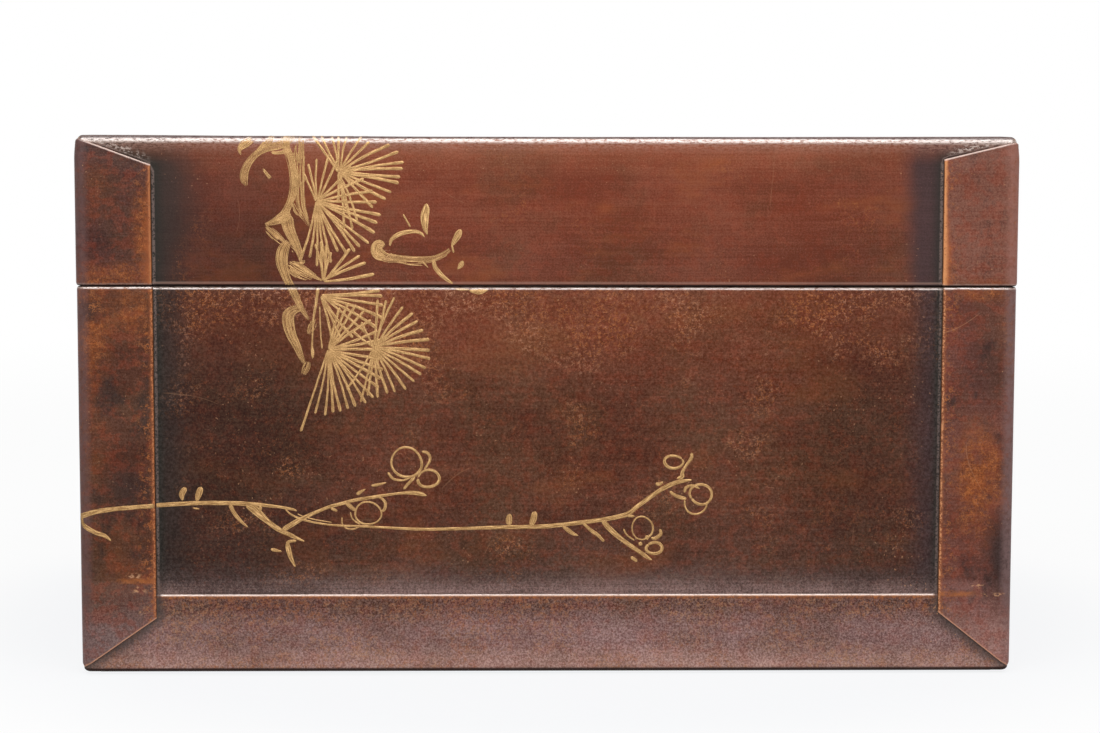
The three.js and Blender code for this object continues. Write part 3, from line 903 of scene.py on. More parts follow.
def gilt_finish():
    made = new_finish("gilt")
    along, across = made.mark("along"), made.mark("across")
    spot = made.node("ShaderNodeCombineXYZ", {}, {0: along * 0.22, 1: across * 3.4})
    drag = made.node("ShaderNodeTexNoise", {}, {"Vector": spot, "Scale": 1.0, "Detail": 3}, "Fac")
    powder = made.cloud(2600, detail=2)
    made.tone = made.mix((drag * 0.75 + powder * 0.25).step(0.41, 0.69), GILT_DARK, GILT_BRIGHT)
    thin = (made.cloud(150, detail=4, roughness=0.7) * 0.6 + drag * 0.4).step(0.56, 0.70)
    made.lay(thin * 0.72, colour(0.175, 0.072, 0.028))
    bare = abs(across).step(0.72, 1.15) * 0.45
    made.lay(bare, colour(0.24, 0.10, 0.038))
    height = made.axis("Z")
    # paler gold where the painted glints of the top edge and the rim cross it
    top_glint = height.step(TOP - 2.8 * MM, TOP - 1.6 * MM) * height.step(TOP - 0.4 * MM, TOP - 0.9 * MM)
    rim_glint = height.step(RIM - 1.5 * MM, RIM - 0.8 * MM) * height.step(RIM + 0.4 * MM, RIM)
    crossed = (top_glint + rim_glint) * powder.step(0.3, 0.6)
    made.lay(crossed * 0.7, colour(0.66, 0.52, 0.40))
    normal = made.bump(drag + powder * 0.5, 0.08 * MM, 0.6)
    return made.finish(powder * 0.1 + 0.5, normal, 0.15, (crossed * 0.6, 0.25), 0.25 - crossed * 0.25)


gilt = gilt_finish()
count_nodes(gilt)

# %% [markdown]
# The sides of the base are four sheets of leather. Each goes up its wall, turns in over the rim
# with a round edge, which catches the light below the lid, and stops at the rim strip. A sheet is
# its upright section carried along the wall. The straps and the band cover its other edges.

# %% Make the panels of the base
PANEL_ROLL = 1.5 * MM
LIP_END = -(WOOD_IN + WALL)
SHEET_GAP = 0.1 * MM
ROLL_STEPS = 6


def corner_drop(run, half_run):
    """How far a face has turned away where it nears the box's rounded upright corner."""
    past = np.clip(np.abs(run) - (half_run - PLAN_RADIUS), 0, PLAN_RADIUS)
    return PLAN_RADIUS - np.sqrt(np.maximum(PLAN_RADIUS ** 2 - past ** 2, 0))


def base_leather(face, run, height):
    """How far out a panel's face lies."""
    return wave(face.place(run, 0.0, height), SEED["base"]) - corner_drop(run, face.half_run)


def strap_outline(part, face):
    """The straps' edges on a face, as two paths of run and height."""
    paths = []
    for edge, mitre, tip in strap_edges(part, face):
        corner = np.sign(edge) * face.half_run
        if part == "lid":
            paths.append([(edge, LID_FOOT), (edge, TOP - mitre), (corner, TOP - tip)])
        else:
            paths.append([(edge, RIM), (edge, mitre), (corner, tip)])
    return paths


def beside_straps(part, face, run, height):
    """Distance out from the nearest strap's edge, in millimetres. It is negative under a strap."""
    nearest = np.inf
    for path in strap_outline(part, face):
        (edge, _), (_, mitre), (corner, tip) = path
        slant = mitre + (tip - mitre) * (run - edge) / (corner - edge)
        inward = (run - edge) * np.sign(edge) > 0
        covered = inward & ((height > slant) if part == "base" else (height < slant))
        away = path_distance(run, height, path)
        nearest = np.minimum(nearest, np.where(covered, -away, away))
    return nearest / MM


def make_panel(face):
    end = face.half_run - WOOD_IN
    runs = lines(-end, end, 3.5 * MM, (0.5 * MM, 1.0 * MM, 1.6 * MM))[:, None]
    heights = lines(PANEL_TAIL, RIM - PANEL_ROLL, 3.5 * MM)[None, :]
    front = base_leather(face, runs, heights)
    turn = np.linspace(0, math.pi / 2, ROLL_STEPS + 1)[None, 1:]
    roll_out = front[:, -1:] + PANEL_ROLL * (np.cos(turn) - 1)
    roll_height = RIM - PANEL_ROLL + PANEL_ROLL * np.sin(turn)
    inner = np.array([(LIP_END, RIM), (LIP_END, RIM - LEATHER), (-LEATHER, RIM - LEATHER),
                      (-LEATHER, PANEL_TAIL)])
    count = len(runs)
    out = np.hstack([front, roll_out, np.tile(inner[:, 0], (count, 1))])
    height = np.hstack([np.tile(heights, (count, 1)), np.tile(roll_height, (count, 1)),
                        np.tile(inner[:, 1], (count, 1))])
    inside = np.minimum(out + WOOD_IN, 0) - np.where(out < -WOOD_IN, SHEET_GAP, 0)
    run = runs * (1 + inside / end)
    marks = {
        "under": beside_straps("base", face, run, height),
        "foot": np.maximum(height - BAND_TOP, 0) / MM,
        "seam": (RIM - height) / MM - out / MM * (height > RIM - PANEL_ROLL),
    }
    return swept("base_side_" + face.name, face.place(run, out, height), marks, panel_leather,
                 "base", ["base_panel_" + face.name])


panels = [make_panel(face) for face in FACES["base"]]
report("panels", panels)

# %% [markdown]
# The bands are strips round the foot, folded under the box. Their upper edge is rounded, rubbed, and
# painted with a bright glint. At a corner two bands meet, so each goes half way round it, and the parts
# folded under are mitred like a picture frame.

# %% Make the bands
BAND_EDGE = 1.1 * MM  # height of the band's rounded upper edge
FOLD_CENTRE = BAND_FOOT + WOOD_IN + BAND_PROUD
CORNER_STEPS = 6


def corner_path(face, radial):
    """Turns a strip's stations into places: along a wall, and half way round both its corners.

    A station is a run and a turn. The radial distances are from the corner's centre line."""
    straight = face.half_run - PLAN_RADIUS
    wall = lines(-straight, straight, 3.5 * MM)
    turns = np.linspace(0, math.pi / 4, CORNER_STEPS // 2 + 1)[1:]
    stations = [(-straight, -turn) for turn in reversed(turns)]
    stations += [(run, 0.0) for run in wall]
    stations += [(straight, turn) for turn in turns]
    run, turn = np.array(stations).T[:, :, None]
    outside = np.maximum(radial, 0)
    inside = np.minimum(radial, 0)
    mitred = run * (1 + (inside - np.where(inside < 0, SHEET_GAP, 0)) / straight)
    return mitred + outside * np.sin(turn), inside + outside * np.cos(turn) - PLAN_RADIUS


def band_surface(face, run, height):
    """How far out a band's face lies, on its upright part."""
    ripple = wave(face.place(run, 0.0, height), SEED["base"] + 4) * 0.4
    below = np.clip(BAND_TOP - height, 0, BAND_EDGE) / BAND_EDGE
    rounded = BAND_PROUD * (1 - np.sqrt(np.maximum(1 - (1 - below) ** 2, 0)))
    return BAND_PROUD + ripple - rounded * 0.9


def make_band(face):
    edge = BAND_TOP - BAND_EDGE * (1 - np.sin(np.linspace(0, math.pi / 2, 6)))
    upright = np.append(lines(FOLD_CENTRE, BAND_TOP - BAND_EDGE, 2.5 * MM)[:-1], edge)
    turn = np.linspace(0, math.pi / 2, ROLL_STEPS + 1)
    outer_radius = WOOD_IN + BAND_PROUD
    thickness = BAND_PROUD - GLUE
    inner_radius = outer_radius - thickness
    fold_out = -WOOD_IN + outer_radius * np.cos(turn[1:])
    fold_height = FOLD_CENTRE - outer_radius * np.sin(turn[1:])
    back_out = -WOOD_IN + inner_radius * np.cos(turn[::-1])
    back_height = FOLD_CENTRE - inner_radius * np.sin(turn[::-1])
    flap_end = -WOOD_IN - FLAP
    out = np.concatenate([np.full(len(upright), BAND_PROUD)[::-1], fold_out, [flap_end, flap_end],
                          back_out, [GLUE]])
    height = np.concatenate([upright[::-1], fold_height, [BAND_FOOT, BAND_FOOT + thickness],
                             back_height, [BAND_TOP]])[None, :]
    run, depth = corner_path(face, PLAN_RADIUS + out)
    shaped = band_surface(face, run, height) - BAND_PROUD
    is_front = np.arange(len(out)) < len(upright)
    run, depth = corner_path(face, PLAN_RADIUS + out + np.where(is_front, shaped, 0))
    marks = {
        "cut": (BAND_TOP - height) / MM,
        "under": beside_straps("base", face, run, height),
        "fold": height / MM,
    }
    return swept("base_foot_band_" + face.name, face.place(run, depth, height), marks, foot_leather,
                 "base", ["base_band_" + face.name])


bands = [make_band(face) for face in FACES["base"]]
report("bands", bands)

# %% [markdown]
# A strap is one piece of leather folded round a corner. It is pared thin towards its slanted end,
# and its free edges were cut by hand and have been rubbed round. On the base it runs over the
# hidden end of the bands, which shows as a low ridge. The front and the back of the leather are
# laid as two nets over the same stations, and joined at the edges.

# %% Work out a strap's thickness
SKIVE = 6 * MM  # how far in from its slanted end a strap is pared
PARED = 0.5 * MM  # what is left of its thickness there
EDGE_ROLL = 0.8 * MM  # how far in its free edges are rounded
SEAM_ROLL = 1.2 * MM
RIDGE = {"left": 36.7 * MM, "right": BAND_TOP}  # where a strap steps down off the band
OVER_BAND = 0.1 * MM  # between the band and the strap that runs over it
STEP_DOWN = 2.4 * MM  # height of the strap's step down off the band
SEAM_DROP = 0.8 * MM
TOP_ROLL_OUT = 2.2 * MM  # the lid's rounded upper edge, seen in a section
TOP_ROLL_DOWN = 3.0 * MM


def smooth(values, low, high):
    """0 below low, 1 above high, and an even curve between."""
    share = np.clip((values - low) / (high - low), 0, 1)
    return share * share * (3 - 2 * share)


def rolled(distance, width):
    """The profile of a rounded edge: 0 at the edge, and 1 at a width in from it."""
    return np.sqrt(np.maximum(1 - (1 - np.clip(distance / width, 0, 1)) ** 2, 0))


def top_drop(height):
    """How far the lid's leather has turned in at a height near the top."""
    return TOP_ROLL_OUT * (1 - rolled(TOP - height, TOP_ROLL_DOWN))


def strap_layers(part, leather, cut, slant, seam, height, ridge):
    """The back and the front of a strap, out from the face, at distances in from its edges."""
    dropped = top_drop(height) if part == "lid" else 0
    back = leather + GLUE - dropped
    if part == "base":
        back = back + (BAND_PROUD + OVER_BAND) * (1 - smooth(height, ridge, ridge + STEP_DOWN))
    full = PROUD[part] - dropped + leather * 0.4
    front = back + PARED + (full - back - PARED) * smooth(slant, 0, SKIVE)
    front = back + (front - back) * (0.3 + 0.7 * rolled(cut, EDGE_ROLL))
    front = front - (front - back) * 0.4 * (1 - rolled(slant, 0.5 * MM))
    return back, front - SEAM_DROP * (1 - rolled(seam, SEAM_ROLL))


print("the lid's edge has turned in by %.2f mm at 1 mm down" % (top_drop(TOP - 1 * MM) / MM))

# %% [markdown]
# A strap's stations go from one free edge, round the corner, to the other. They lie closer together
# near an edge, so its rounding is smooth. The knife strayed a little, so no cut is quite straight.

# %% Fold the straps round their corners
STRAP_STEP = 2.2 * MM
NEAR_EDGE = np.array((0, 0.1, 0.25, 0.45, 0.8, 1.5, 3.0)) * MM
NEAR_SEAM = np.array((0, 0.07, 0.2, 0.4, 0.75, 1.2)) * MM
HAND_CUT = 0.14 * MM  # how far the knife strayed
END_COUNT, CUT_COUNT = 120, 140  # how often to a metre, at the slanted ends and the free edges
CUT_FADE = 1.5 * MM
HANDLED = 5 * MM
RUBBED_AWAY = {"left": 0.3 * MM, "right": 0.7 * MM}


def leg_stations(length, mitre, tip, reach):
    """Stations of a leg, from its free edge to the corner: distance in and depth of the end."""
    inward = np.append(NEAR_EDGE, np.arange(NEAR_EDGE[-1] + STRAP_STEP, length, STRAP_STEP))
    inward = np.append(inward[inward < length - 0.5 * STRAP_STEP], length)
    return [(d, tip + (mitre - tip) * (1 - d / reach)) for d in inward]


def strap_path(part, corner):
    """Once round a corner: plan point, direction out, distance to the cut, and depth of the end."""
    half, mitres = HALF[part], MITRE[part]
    x_sign, y_sign = CORNERS[corner]
    hand = hand_of(corner)
    ends, tip = (mitres[hand], mitres["short"]), TIP[part][hand]
    middle = np.array((x_sign * (half.x - PLAN_RADIUS), y_sign * (half.y - PLAN_RADIUS)))
    along = [np.array((x_sign, 0.0)), np.array((0.0, y_sign))]
    lengths = [leg_width(part, corner, axis) - PROUD[part] - PLAN_RADIUS for axis in (0, 1)]
    turned = PLAN_RADIUS * math.pi / 4
    legs = []
    for axis in (0, 1):
        stations = leg_stations(lengths[axis], ends[axis], tip, lengths[axis] + turned)
        legs.append([(middle - along[axis] * (lengths[axis] - inward), along[1 - axis], inward, depth)
                     for inward, depth in stations])
    bend = []
    for step in range(1, CORNER_STEPS * 2):
        turn = step / (CORNER_STEPS * 2) * math.pi / 2
        side = 0 if turn < math.pi / 4 else 1
        share = abs(turn - math.pi / 4) / (math.pi / 4)
        depth = tip + (ends[side] - tip) * share * turned / (lengths[side] + turned)
        direction = along[0] * math.sin(turn) + along[1] * math.cos(turn)
        bend.append((middle, direction, lengths[side], depth))
    path = legs[0] + bend + legs[1][::-1]
    plan, direction, cut, depth = (np.array(column) for column in zip(*path))
    return plan, direction, cut[:, None], depth[:, None]


def handled(points):
    """Rounds the lid's upper corners, which hands have rubbed, and most at the right."""
    x, y, height = points[..., 0], points[..., 1], points[..., 2]
    out = np.clip((np.abs(x) - LID_HALF.x) / HANDLED + 1, 0, 1)
    up = np.clip((height - TOP) / HANDLED + 1, 0, 1)
    near = smooth(np.abs(y), LID_HALF.y - 5 * HANDLED, LID_HALF.y - HANDLED)
    worn = points.copy()
    worn[..., 2] -= np.where(x > 0, RUBBED_AWAY["right"], RUBBED_AWAY["left"]) * out ** 2 * up * near
    return worn


def make_strap(part, corner):
    plan, direction, cut, depth = strap_path(part, corner)
    seed, ridge = SEED[part], RIDGE[hand_of(corner)]
    depth = depth + HAND_CUT * noise_at(np.column_stack([plan, cut]), END_COUNT, seed)[:, None] * 0.6
    if part == "lid":
        low, high, near_low, near_high = LID_FOOT + 0 * depth, TOP - depth, NEAR_SEAM, NEAR_EDGE
        tall, seam_level = TOP - LID_FOOT, LID_FOOT
    else:
        low, high, near_low, near_high = depth, RIM + 0 * depth, NEAR_EDGE, NEAR_SEAM
        tall, seam_level = RIM, RIM
    share = np.linspace(0, 1, int(tall / STRAP_STEP))[None, 1:-1]
    inner_low, inner_high = low + near_low[-1], high - near_high[-1]
    height = np.hstack([low + near_low, inner_low + share * (inner_high - inner_low),
                        high - near_high[::-1]])
    seam = np.abs(height - seam_level)
    slant = np.abs(height - (low if part == "base" else high)) * 0.85
    reach = PLAN_RADIUS * np.ones_like(height)
    skin_points = np.dstack([plan[:, None, 0] + direction[:, None, 0] * reach,
                             plan[:, None, 1] + direction[:, None, 1] * reach, height])
    back, front = strap_layers(part, wave(skin_points, seed), cut, slant, seam, height, ridge)
    shift = HAND_CUT * noise_at(skin_points, CUT_COUNT, seed + 5) * np.exp(-cut / CUT_FADE)
    shift = shift[..., None] * np.stack([direction[:, 1], direction[:, 0]], 1)[:, None, :]
    nets = []
    for out in (front, back):
        spot = plan[:, None, :] + direction[:, None, :] * (PLAN_RADIUS + out)[..., None] + shift
        nets.append(np.dstack([spot, height]))
    sections = np.hstack([nets[0], nets[1][:, ::-1]])
    sections = handled(sections) if part == "lid" else sections
    marks = {"cut": cut, "mitre": slant, "seam": seam,
             "foot": np.abs(height - ridge) if part == "base" else FAR * MM}
    both = {}
    for mark, values in marks.items():
        values = np.broadcast_to(values, height.shape) / MM
        both[mark] = np.hstack([values, values[:, ::-1]])
    name = "%s_corner_strap_%s" % (part, corner)
    return swept(name, sections, both, strap_leather, part,
                 ["%s_strap_%s" % (part, corner)])


straps = [make_strap(part, corner) for part in ("base", "lid") for corner in CORNERS]
report("straps", straps)

# %% [markdown]
# One sheet of damp leather was moulded down over the lid, so no seam divides its top from its
# sides. Rings of points go from the edge of the top, over the rounded edge, down the sides and in
# under the walls. A grid fills the top. The top sags a little, as thin boards do with age.

# %% Mould the lid's leather
SAG_ALONG = 0.45 * MM
SAG_ACROSS = 0.3 * MM
SAG_REACH = 12 * MM
LID_SEAM_ROLL = 0.8 * MM
SAG_ROOM = 0.6 * MM  # kept free below the top, so that it can sag
RING_STEP = 3.5 * MM


def sag(x, y, height):
    """How far the top has sunk at a place."""
    along = 1 - (x / LID_HALF.x) ** 2
    across = 1 - (y / LID_HALF.y) ** 2
    return (SAG_ALONG * along + SAG_ACROSS * across * along) * smooth(height, TOP - SAG_REACH, TOP)


def once_round(x_places, y_places):
    """Plan points and outward directions, once round the lid at its corners' centre line."""
    spots, directions = [], []
    x_end, y_end = x_places[-1], y_places[-1]
    sides = [
        ([(x, -y_end) for x in x_places], 0),
        ([(x_end, y) for y in y_places], 1),
        ([(x, y_end) for x in x_places[::-1]], 2),
        ([(-x_end, y) for y in y_places[::-1]], 3),
    ]
    for side, quarter in sides:
        spots += side
        directions += [quarter * math.pi / 2] * len(side)
        for step in range(1, CORNER_STEPS):
            spots.append(side[-1])
            directions.append((quarter + step / CORNER_STEPS) * math.pi / 2)
    angles = np.array(directions)
    return np.array(spots), np.column_stack([np.sin(angles), -np.cos(angles)])


def lid_profile():
    """The outer section from the top's edge to the seam: out, height, and tilt of the surface."""
    profile = [(-PLAN_RADIUS, TOP, math.pi / 2)]
    for turn in np.linspace(math.pi / 2, 0, ROLL_STEPS + 4):
        profile.append((TOP_ROLL_OUT * (math.cos(turn) - 1),
                        TOP + TOP_ROLL_DOWN * (math.sin(turn) - 1), turn))
    for height in lines(LID_FOOT + LID_SEAM_ROLL, TOP - TOP_ROLL_DOWN, RING_STEP)[-2::-1]:
        profile.append((0.0, height, 0.0))
    for turn in np.linspace(0, math.pi / 2, ROLL_STEPS)[1:]:
        profile.append((LID_SEAM_ROLL * (math.cos(turn) - 1),
                        LID_FOOT + LID_SEAM_ROLL * (1 - math.sin(turn)), -turn))
    return profile


def lid_ring(spots, directions, out, height, tilt):
    """One ring of the outer surface, with its waves and its sag."""
    x, y = (spots + directions * (PLAN_RADIUS + out)).T
    ring = np.column_stack([x, y, np.full(len(x), height)])
    depth = wave(ring, SEED["lid"])
    ring[:, :2] += directions * (depth * math.cos(tilt))[:, None]
    ring[:, 2] += depth * max(math.sin(tilt), 0) - sag(x, y, height)
    return ring


def inner_ring(spots, directions, out, height):
    """One ring of the hidden inner surface."""
    if out > -PLAN_RADIUS:
        plan = spots + directions * (PLAN_RADIUS + out)
    else:
        reach = spots.max(0)
        plan = spots * (reach + PLAN_RADIUS + out) / reach
    return np.column_stack([plan, np.full(len(plan), height)])


def make_lid_leather():
    x_places = lines(-LID_HALF.x + PLAN_RADIUS, LID_HALF.x - PLAN_RADIUS, RING_STEP)
    y_places = lines(-LID_HALF.y + PLAN_RADIUS, LID_HALF.y - PLAN_RADIUS, RING_STEP)
    spots, directions = once_round(x_places, y_places)
    rings = [lid_ring(spots, directions, *entry) for entry in lid_profile()]
    lip_end = -(WOOD_IN + LID_WALL)
    for out, height in ((lip_end, LID_FOOT), (lip_end, LID_FOOT + LEATHER),
                        (-LEATHER, LID_FOOT + LEATHER), (-LEATHER, TOP - LEATHER - SAG_ROOM)):
        rings.append(inner_ring(spots, directions, out, height))
    count = len(spots)
    points = list(np.vstack(rings))
    faces = ring_faces(len(rings), count)
    faces.append(tuple((len(rings) - 1) * count + i for i in range(count)))
    x, y = (grid.reshape(-1) for grid in np.meshgrid(x_places, y_places))
    top = np.column_stack([x, y, np.full(len(x), TOP)])
    top[:, 2] += wave(top, SEED["lid"]) - sag(x, y, TOP)
    start, row = len(points), len(x_places)
    points += list(top)
    for j in range(len(y_places) - 1):
        for i in range(row - 1):
            corner = start + j * row + i
            faces.append((corner, corner + 1, corner + row + 1, corner + row))
    points = np.array(points)
    return make_piece("lid_leather_moulded", handled(points), faces, lid_marks(points), lid_leather,
                      "lid", ["lid_leather"])


def lid_marks(points):
    """Distances on the lid's leather to the straps, the seam and the rounded edge."""
    x, y, height = points.T
    inset_x, inset_y = LID_HALF.x - np.abs(x), LID_HALF.y - np.abs(y)
    to_edge = np.where(height > TOP - TOP_ROLL_DOWN, np.minimum(inset_x, inset_y), 0)
    under = np.full(len(points), np.inf)
    for face in FACES["lid"]:
        run = points @ face.run
        is_near = face.face_out - points @ face.out < PLAN_RADIUS
        under = np.where(is_near, np.minimum(under, beside_straps("lid", face, run, height)), under)
    return {
        "under": np.minimum(under, FAR),
        "seam": (height - LID_FOOT) / MM,
        "fold": (TOP - height + to_edge) / MM,
    }


lid_sheet = make_lid_leather()
report("lid leather", [lid_sheet])

# %% [markdown]
# The pine and the plum branch are brushed on in gold. Each stroke is a thin raised ribbon of paint, with
# its own edges and its own height, so it catches light as paint does. The strokes were read off the
# photograph, so their points are written in its pixels, and a ray through the camera sets each on the
# front of the box. A stroke is bent over the lid's edge and round the corner, and it stops at the seam and
# at a strap's edge.

# %% Lay paint on the faces
LINE_OF_SIGHT = camera.matrix_world.to_3x3()
PHOTO_MIDDLE = (550, 366.5)
TRUNK_TOP = (285, 142)
PIXEL = 0.3845 * MM  # a photograph's pixel, on the front of the box
FRONT_LID, FRONT_BASE = FACES["lid"][0], FACES["base"][0]
LEFT_BASE = FACES["base"][3]
LEFT_EDGE = front_edges[0][0]
CORNER_REACH = PLAN_RADIUS + PROUD["base"]


def on_front(pixel_x, pixel_y):
    """Run and height on the front of the box, seen at a pixel of the photograph."""
    ray = LINE_OF_SIGHT @ Vector((pixel_x - PHOTO_MIDDLE[0], PHOTO_MIDDLE[1] - pixel_y, -FOCAL_PIXELS))
    reach = (-FRONT_LID.face_out - CAMERA_PLACE.y) / ray.y
    spot = CAMERA_PLACE + ray * reach
    return spot.x, spot.z


def lid_spot(run, height, lift):
    """Points of paint on the lid's front. Past the top, a height runs on across the top."""
    turn = np.arcsin(np.clip((height - TOP) / TOP_ROLL_DOWN + 1, 0, 1))
    dip = np.arcsin(np.clip((LID_FOOT - height) / LID_SEAM_ROLL + 1, 0, 1))
    out = TOP_ROLL_OUT * (np.cos(turn) - 1) + LID_SEAM_ROLL * (np.cos(dip) - 1)
    out = out - np.maximum(height - TOP, 0)
    level = np.clip(height, LID_FOOT, TOP)
    tilt = turn - dip
    spot = FRONT_LID.place(run, out, level)
    depth = wave(spot, SEED["lid"])
    sunk = depth * np.maximum(np.sin(tilt), 0) - sag(spot[..., 0], spot[..., 1], level)
    return FRONT_LID.place(run, out + (depth + lift) * np.cos(tilt), level + sunk + lift * np.sin(tilt))


def base_front(run, height):
    """How far out the front of the base lies: its panel, or the left strap."""
    leather = base_leather(FRONT_BASE, run, height)
    cut = LEFT_EDGE - run
    strap = strap_layers("base", leather, np.maximum(cut, 0), FAR, FAR, height, BAND_TOP)[1]
    return np.where(cut > 0, strap, leather)


def base_spot(run, height, lift):
    """Points of paint on the base's front. Past the corner, a run goes on along the left side."""
    dip = np.arcsin(np.clip((height - RIM) / PANEL_ROLL + 1, 0, 1))
    level = np.minimum(height, RIM)
    straight = FRONT_BASE.half_run - PLAN_RADIUS
    past = np.maximum(-straight - run, 0)
    turn = np.clip(past / CORNER_REACH, 0, math.pi / 2)
    beyond = np.maximum(past - CORNER_REACH * math.pi / 2, 0)
    kept = np.maximum(run, -straight)
    out = base_front(kept, level) + PANEL_ROLL * (np.cos(dip) - 1) + lift * np.cos(dip)
    radius = PLAN_RADIUS + out
    spot = FRONT_BASE.place(kept - radius * np.sin(turn), radius * np.cos(turn) - PLAN_RADIUS,
                            level + lift * np.sin(dip))
    return spot + beyond[..., None] * LEFT_BASE.run * -1


def eased_run(run):
    """A run seen from the front, turned into one laid along the surface past the left corner."""
    straight = FRONT_BASE.half_run - PLAN_RADIUS
    past = np.clip((-straight - run) / CORNER_REACH, 0, 1)
    return np.where(past > 0, -straight - CORNER_REACH * np.arcsin(past), run)


print("gold at the top of the trunk lies at run %.1f, height %.1f mm"
      % tuple(length / MM for length in on_front(*TRUNK_TOP)))

# %% [markdown]
# A stroke is a smooth line through a few points, each with its width. A dry brush leaves several
# thin lines instead, which run side by side, stray a little and break off.

# %% Brush a stroke
PAINT = 0.06 * MM  # height of a line of paint
SUNK = 0.03 * MM  # how far it reaches into the leather, so no edge stands off
STROKE_STEP = 0.55 * MM
THINNEST = 0.25 * MM
FRAY = 0.08 * MM  # how far a bristle's line strays
FRAY_COUNT, BREAK_COUNT = 160, 95  # how often to a metre it strays, and breaks off
DRY_END = 4 * MM
ACROSS = np.array((-1.0, -0.6, 0.0, 0.6, 1.0, 0.0))
LIFTS = np.array((0.0, 0.8, 1.0, 0.8, 0.0, 0.0)) * PAINT - np.array((1, 0, 0, 0, 1, 1)) * SUNK


class Gilding:
    """Gathers the ribbons of paint that lie on one body."""

    def __init__(self):
        self.points, self.faces, self.along, self.across = [], [], [], []

    def add(self, sections, lengths):
        start = sum(len(block) for block in self.points)
        stations, count = sections.shape[:2]
        self.points.append(sections.reshape(-1, 3))
        self.faces += [tuple(start + i for i in face) for face in tube_faces(stations, count)]
        self.along.append(np.repeat(lengths / MM, count))
        self.across.append(np.tile(ACROSS, stations))

    def make(self, name, body):
        marks = {"along": np.concatenate(self.along), "across": np.concatenate(self.across)}
        return make_piece(name, np.vstack(self.points), self.faces, marks, gilt, body)


def curve_through(points, step):
    """A smooth line through chosen points, each with its width."""
    points = np.array(points, float)
    padded = np.vstack([2 * points[0] - points[1], points, 2 * points[-1] - points[-2]])
    placed = []
    for i in range(1, len(points)):
        a, b, c, d = padded[i - 1:i + 3]
        count = max(2, int(np.hypot(*(c - b)[:2]) / step) + 1)
        for t in np.linspace(0, 1, count, endpoint=False):
            placed.append(0.5 * (2 * b + (c - a) * t + (2 * a - 5 * b + 4 * c - d) * t * t
                                 + (3 * b - a - 3 * c + d) * t ** 3))
    return np.vstack([placed, points[-1]])


def laid_line(run, height):
    """A line's direction at each of its places, and its length up to there."""
    slope_run, slope_height = np.gradient(run), np.gradient(height)
    size = np.hypot(slope_run, slope_height) + 1e-12
    length = np.append(0, np.cumsum(np.hypot(np.diff(run), np.diff(height))))
    return slope_run / size, slope_height / size, length


def stretches(kinds):
    """Slices of an array along which its value stays the same."""
    breaks = [0, *(np.flatnonzero(np.diff(kinds)) + 1), len(kinds)]
    return [slice(first, last) for first, last in zip(breaks, breaks[1:])]


def add_ribbon(gilding, run, height, half_width, spot, blunt):
    """Adds one unbroken ribbon of paint. An end is round, or blunt where an edge breaks it off."""
    if len(run) < 3:
        return
    slope_run, slope_height, length = laid_line(run, height)
    end = np.minimum(length + FAR * blunt[0], length[-1] - length + FAR * blunt[1])
    half = half_width * np.maximum(rolled(end, np.maximum(half_width, 0.1 * MM)), 0.05)
    side = ACROSS[None, :] * half[:, None]
    runs = run[:, None] - side * slope_height[:, None]
    heights = height[:, None] + side * slope_run[:, None]
    gilding.add(spot(runs, heights, np.broadcast_to(LIFTS, runs.shape)), length)


SEAM_CLEAR = 0.12 * MM
STEP_UP = 0.3 * MM


def lay(run, height, half_width, gildings):
    """Lays a line of paint on the lid and the base, broken at the seam and at a strap's edge."""
    on_lid = height > LID_FOOT + SEAM_CLEAR
    on_base = height < RIM - SEAM_CLEAR
    out = base_front(np.maximum(run, -FRONT_BASE.half_run + PLAN_RADIUS), np.minimum(height, RIM))
    stepped = on_base & (np.abs(np.diff(out, prepend=out[0])) > STEP_UP)
    for part in stretches(on_lid + 2 * on_base + 4 * np.cumsum(stepped)):
        blunt = (part.start > 0, part.stop < len(run))
        for body, here, spot in (("lid", on_lid, lid_spot), ("base", on_base, base_spot)):
            if here[part.start]:
                add_ribbon(gildings[body], run[part], height[part], half_width[part], spot, blunt)


def stroke(gildings, points, bristles=1, dry=0.0):
    """A brush stroke through (pixel x, pixel y, width in pixels). Bristles leave separate lines."""
    placed = [(*on_front(x, y), width * PIXEL) for x, y, width in points]
    run, height, width = curve_through(placed, STROKE_STEP).T
    run = eased_run(run)
    width = np.maximum(width, THINNEST)
    if bristles == 1:
        lay(run, height, width / 2, gildings)
        return
    slope_run, slope_height, length = laid_line(run, height)
    for bristle in range(bristles):
        share = (bristle + 0.5) / bristles * 2 - 1 + hand.uniform(-0.4, 0.4) / bristles
        offset = share * width / 2
        seed = hand.uniform(0, 900)
        thick = width / bristles * hand.uniform(0.36, 0.74)
        wander = np.array([noise.noise(Vector((way * FRAY_COUNT, seed, 0))) for way in length])
        laid = np.array([noise.noise(Vector((way * BREAK_COUNT, seed, 5))) for way in length])
        ends = np.minimum(length, length[-1] - length) / DRY_END
        painted = laid * 0.8 + 0.5 + np.minimum(ends, 1) * 0.3 > dry + 0.25 * abs(share) * (dry > 0)
        shift = offset + wander * FRAY
        thick = thick * (0.9 + 0.3 * wander)
        moved_run, moved_height = run - shift * slope_height, height + shift * slope_run
        for part in stretches(painted):
            if painted[part.start]:
                lay(moved_run[part], moved_height[part], thick[part], gildings)


print("a ribbon of paint is %.2f mm high" % (PAINT / MM))

# %% [markdown]
# A pine's needles spread in fans from the end of a twig. The painter set the brush down hard at
# each tip and lifted it towards the middle, so a needle is widest and round at its tip. Each fan
# is a middle and its tips.

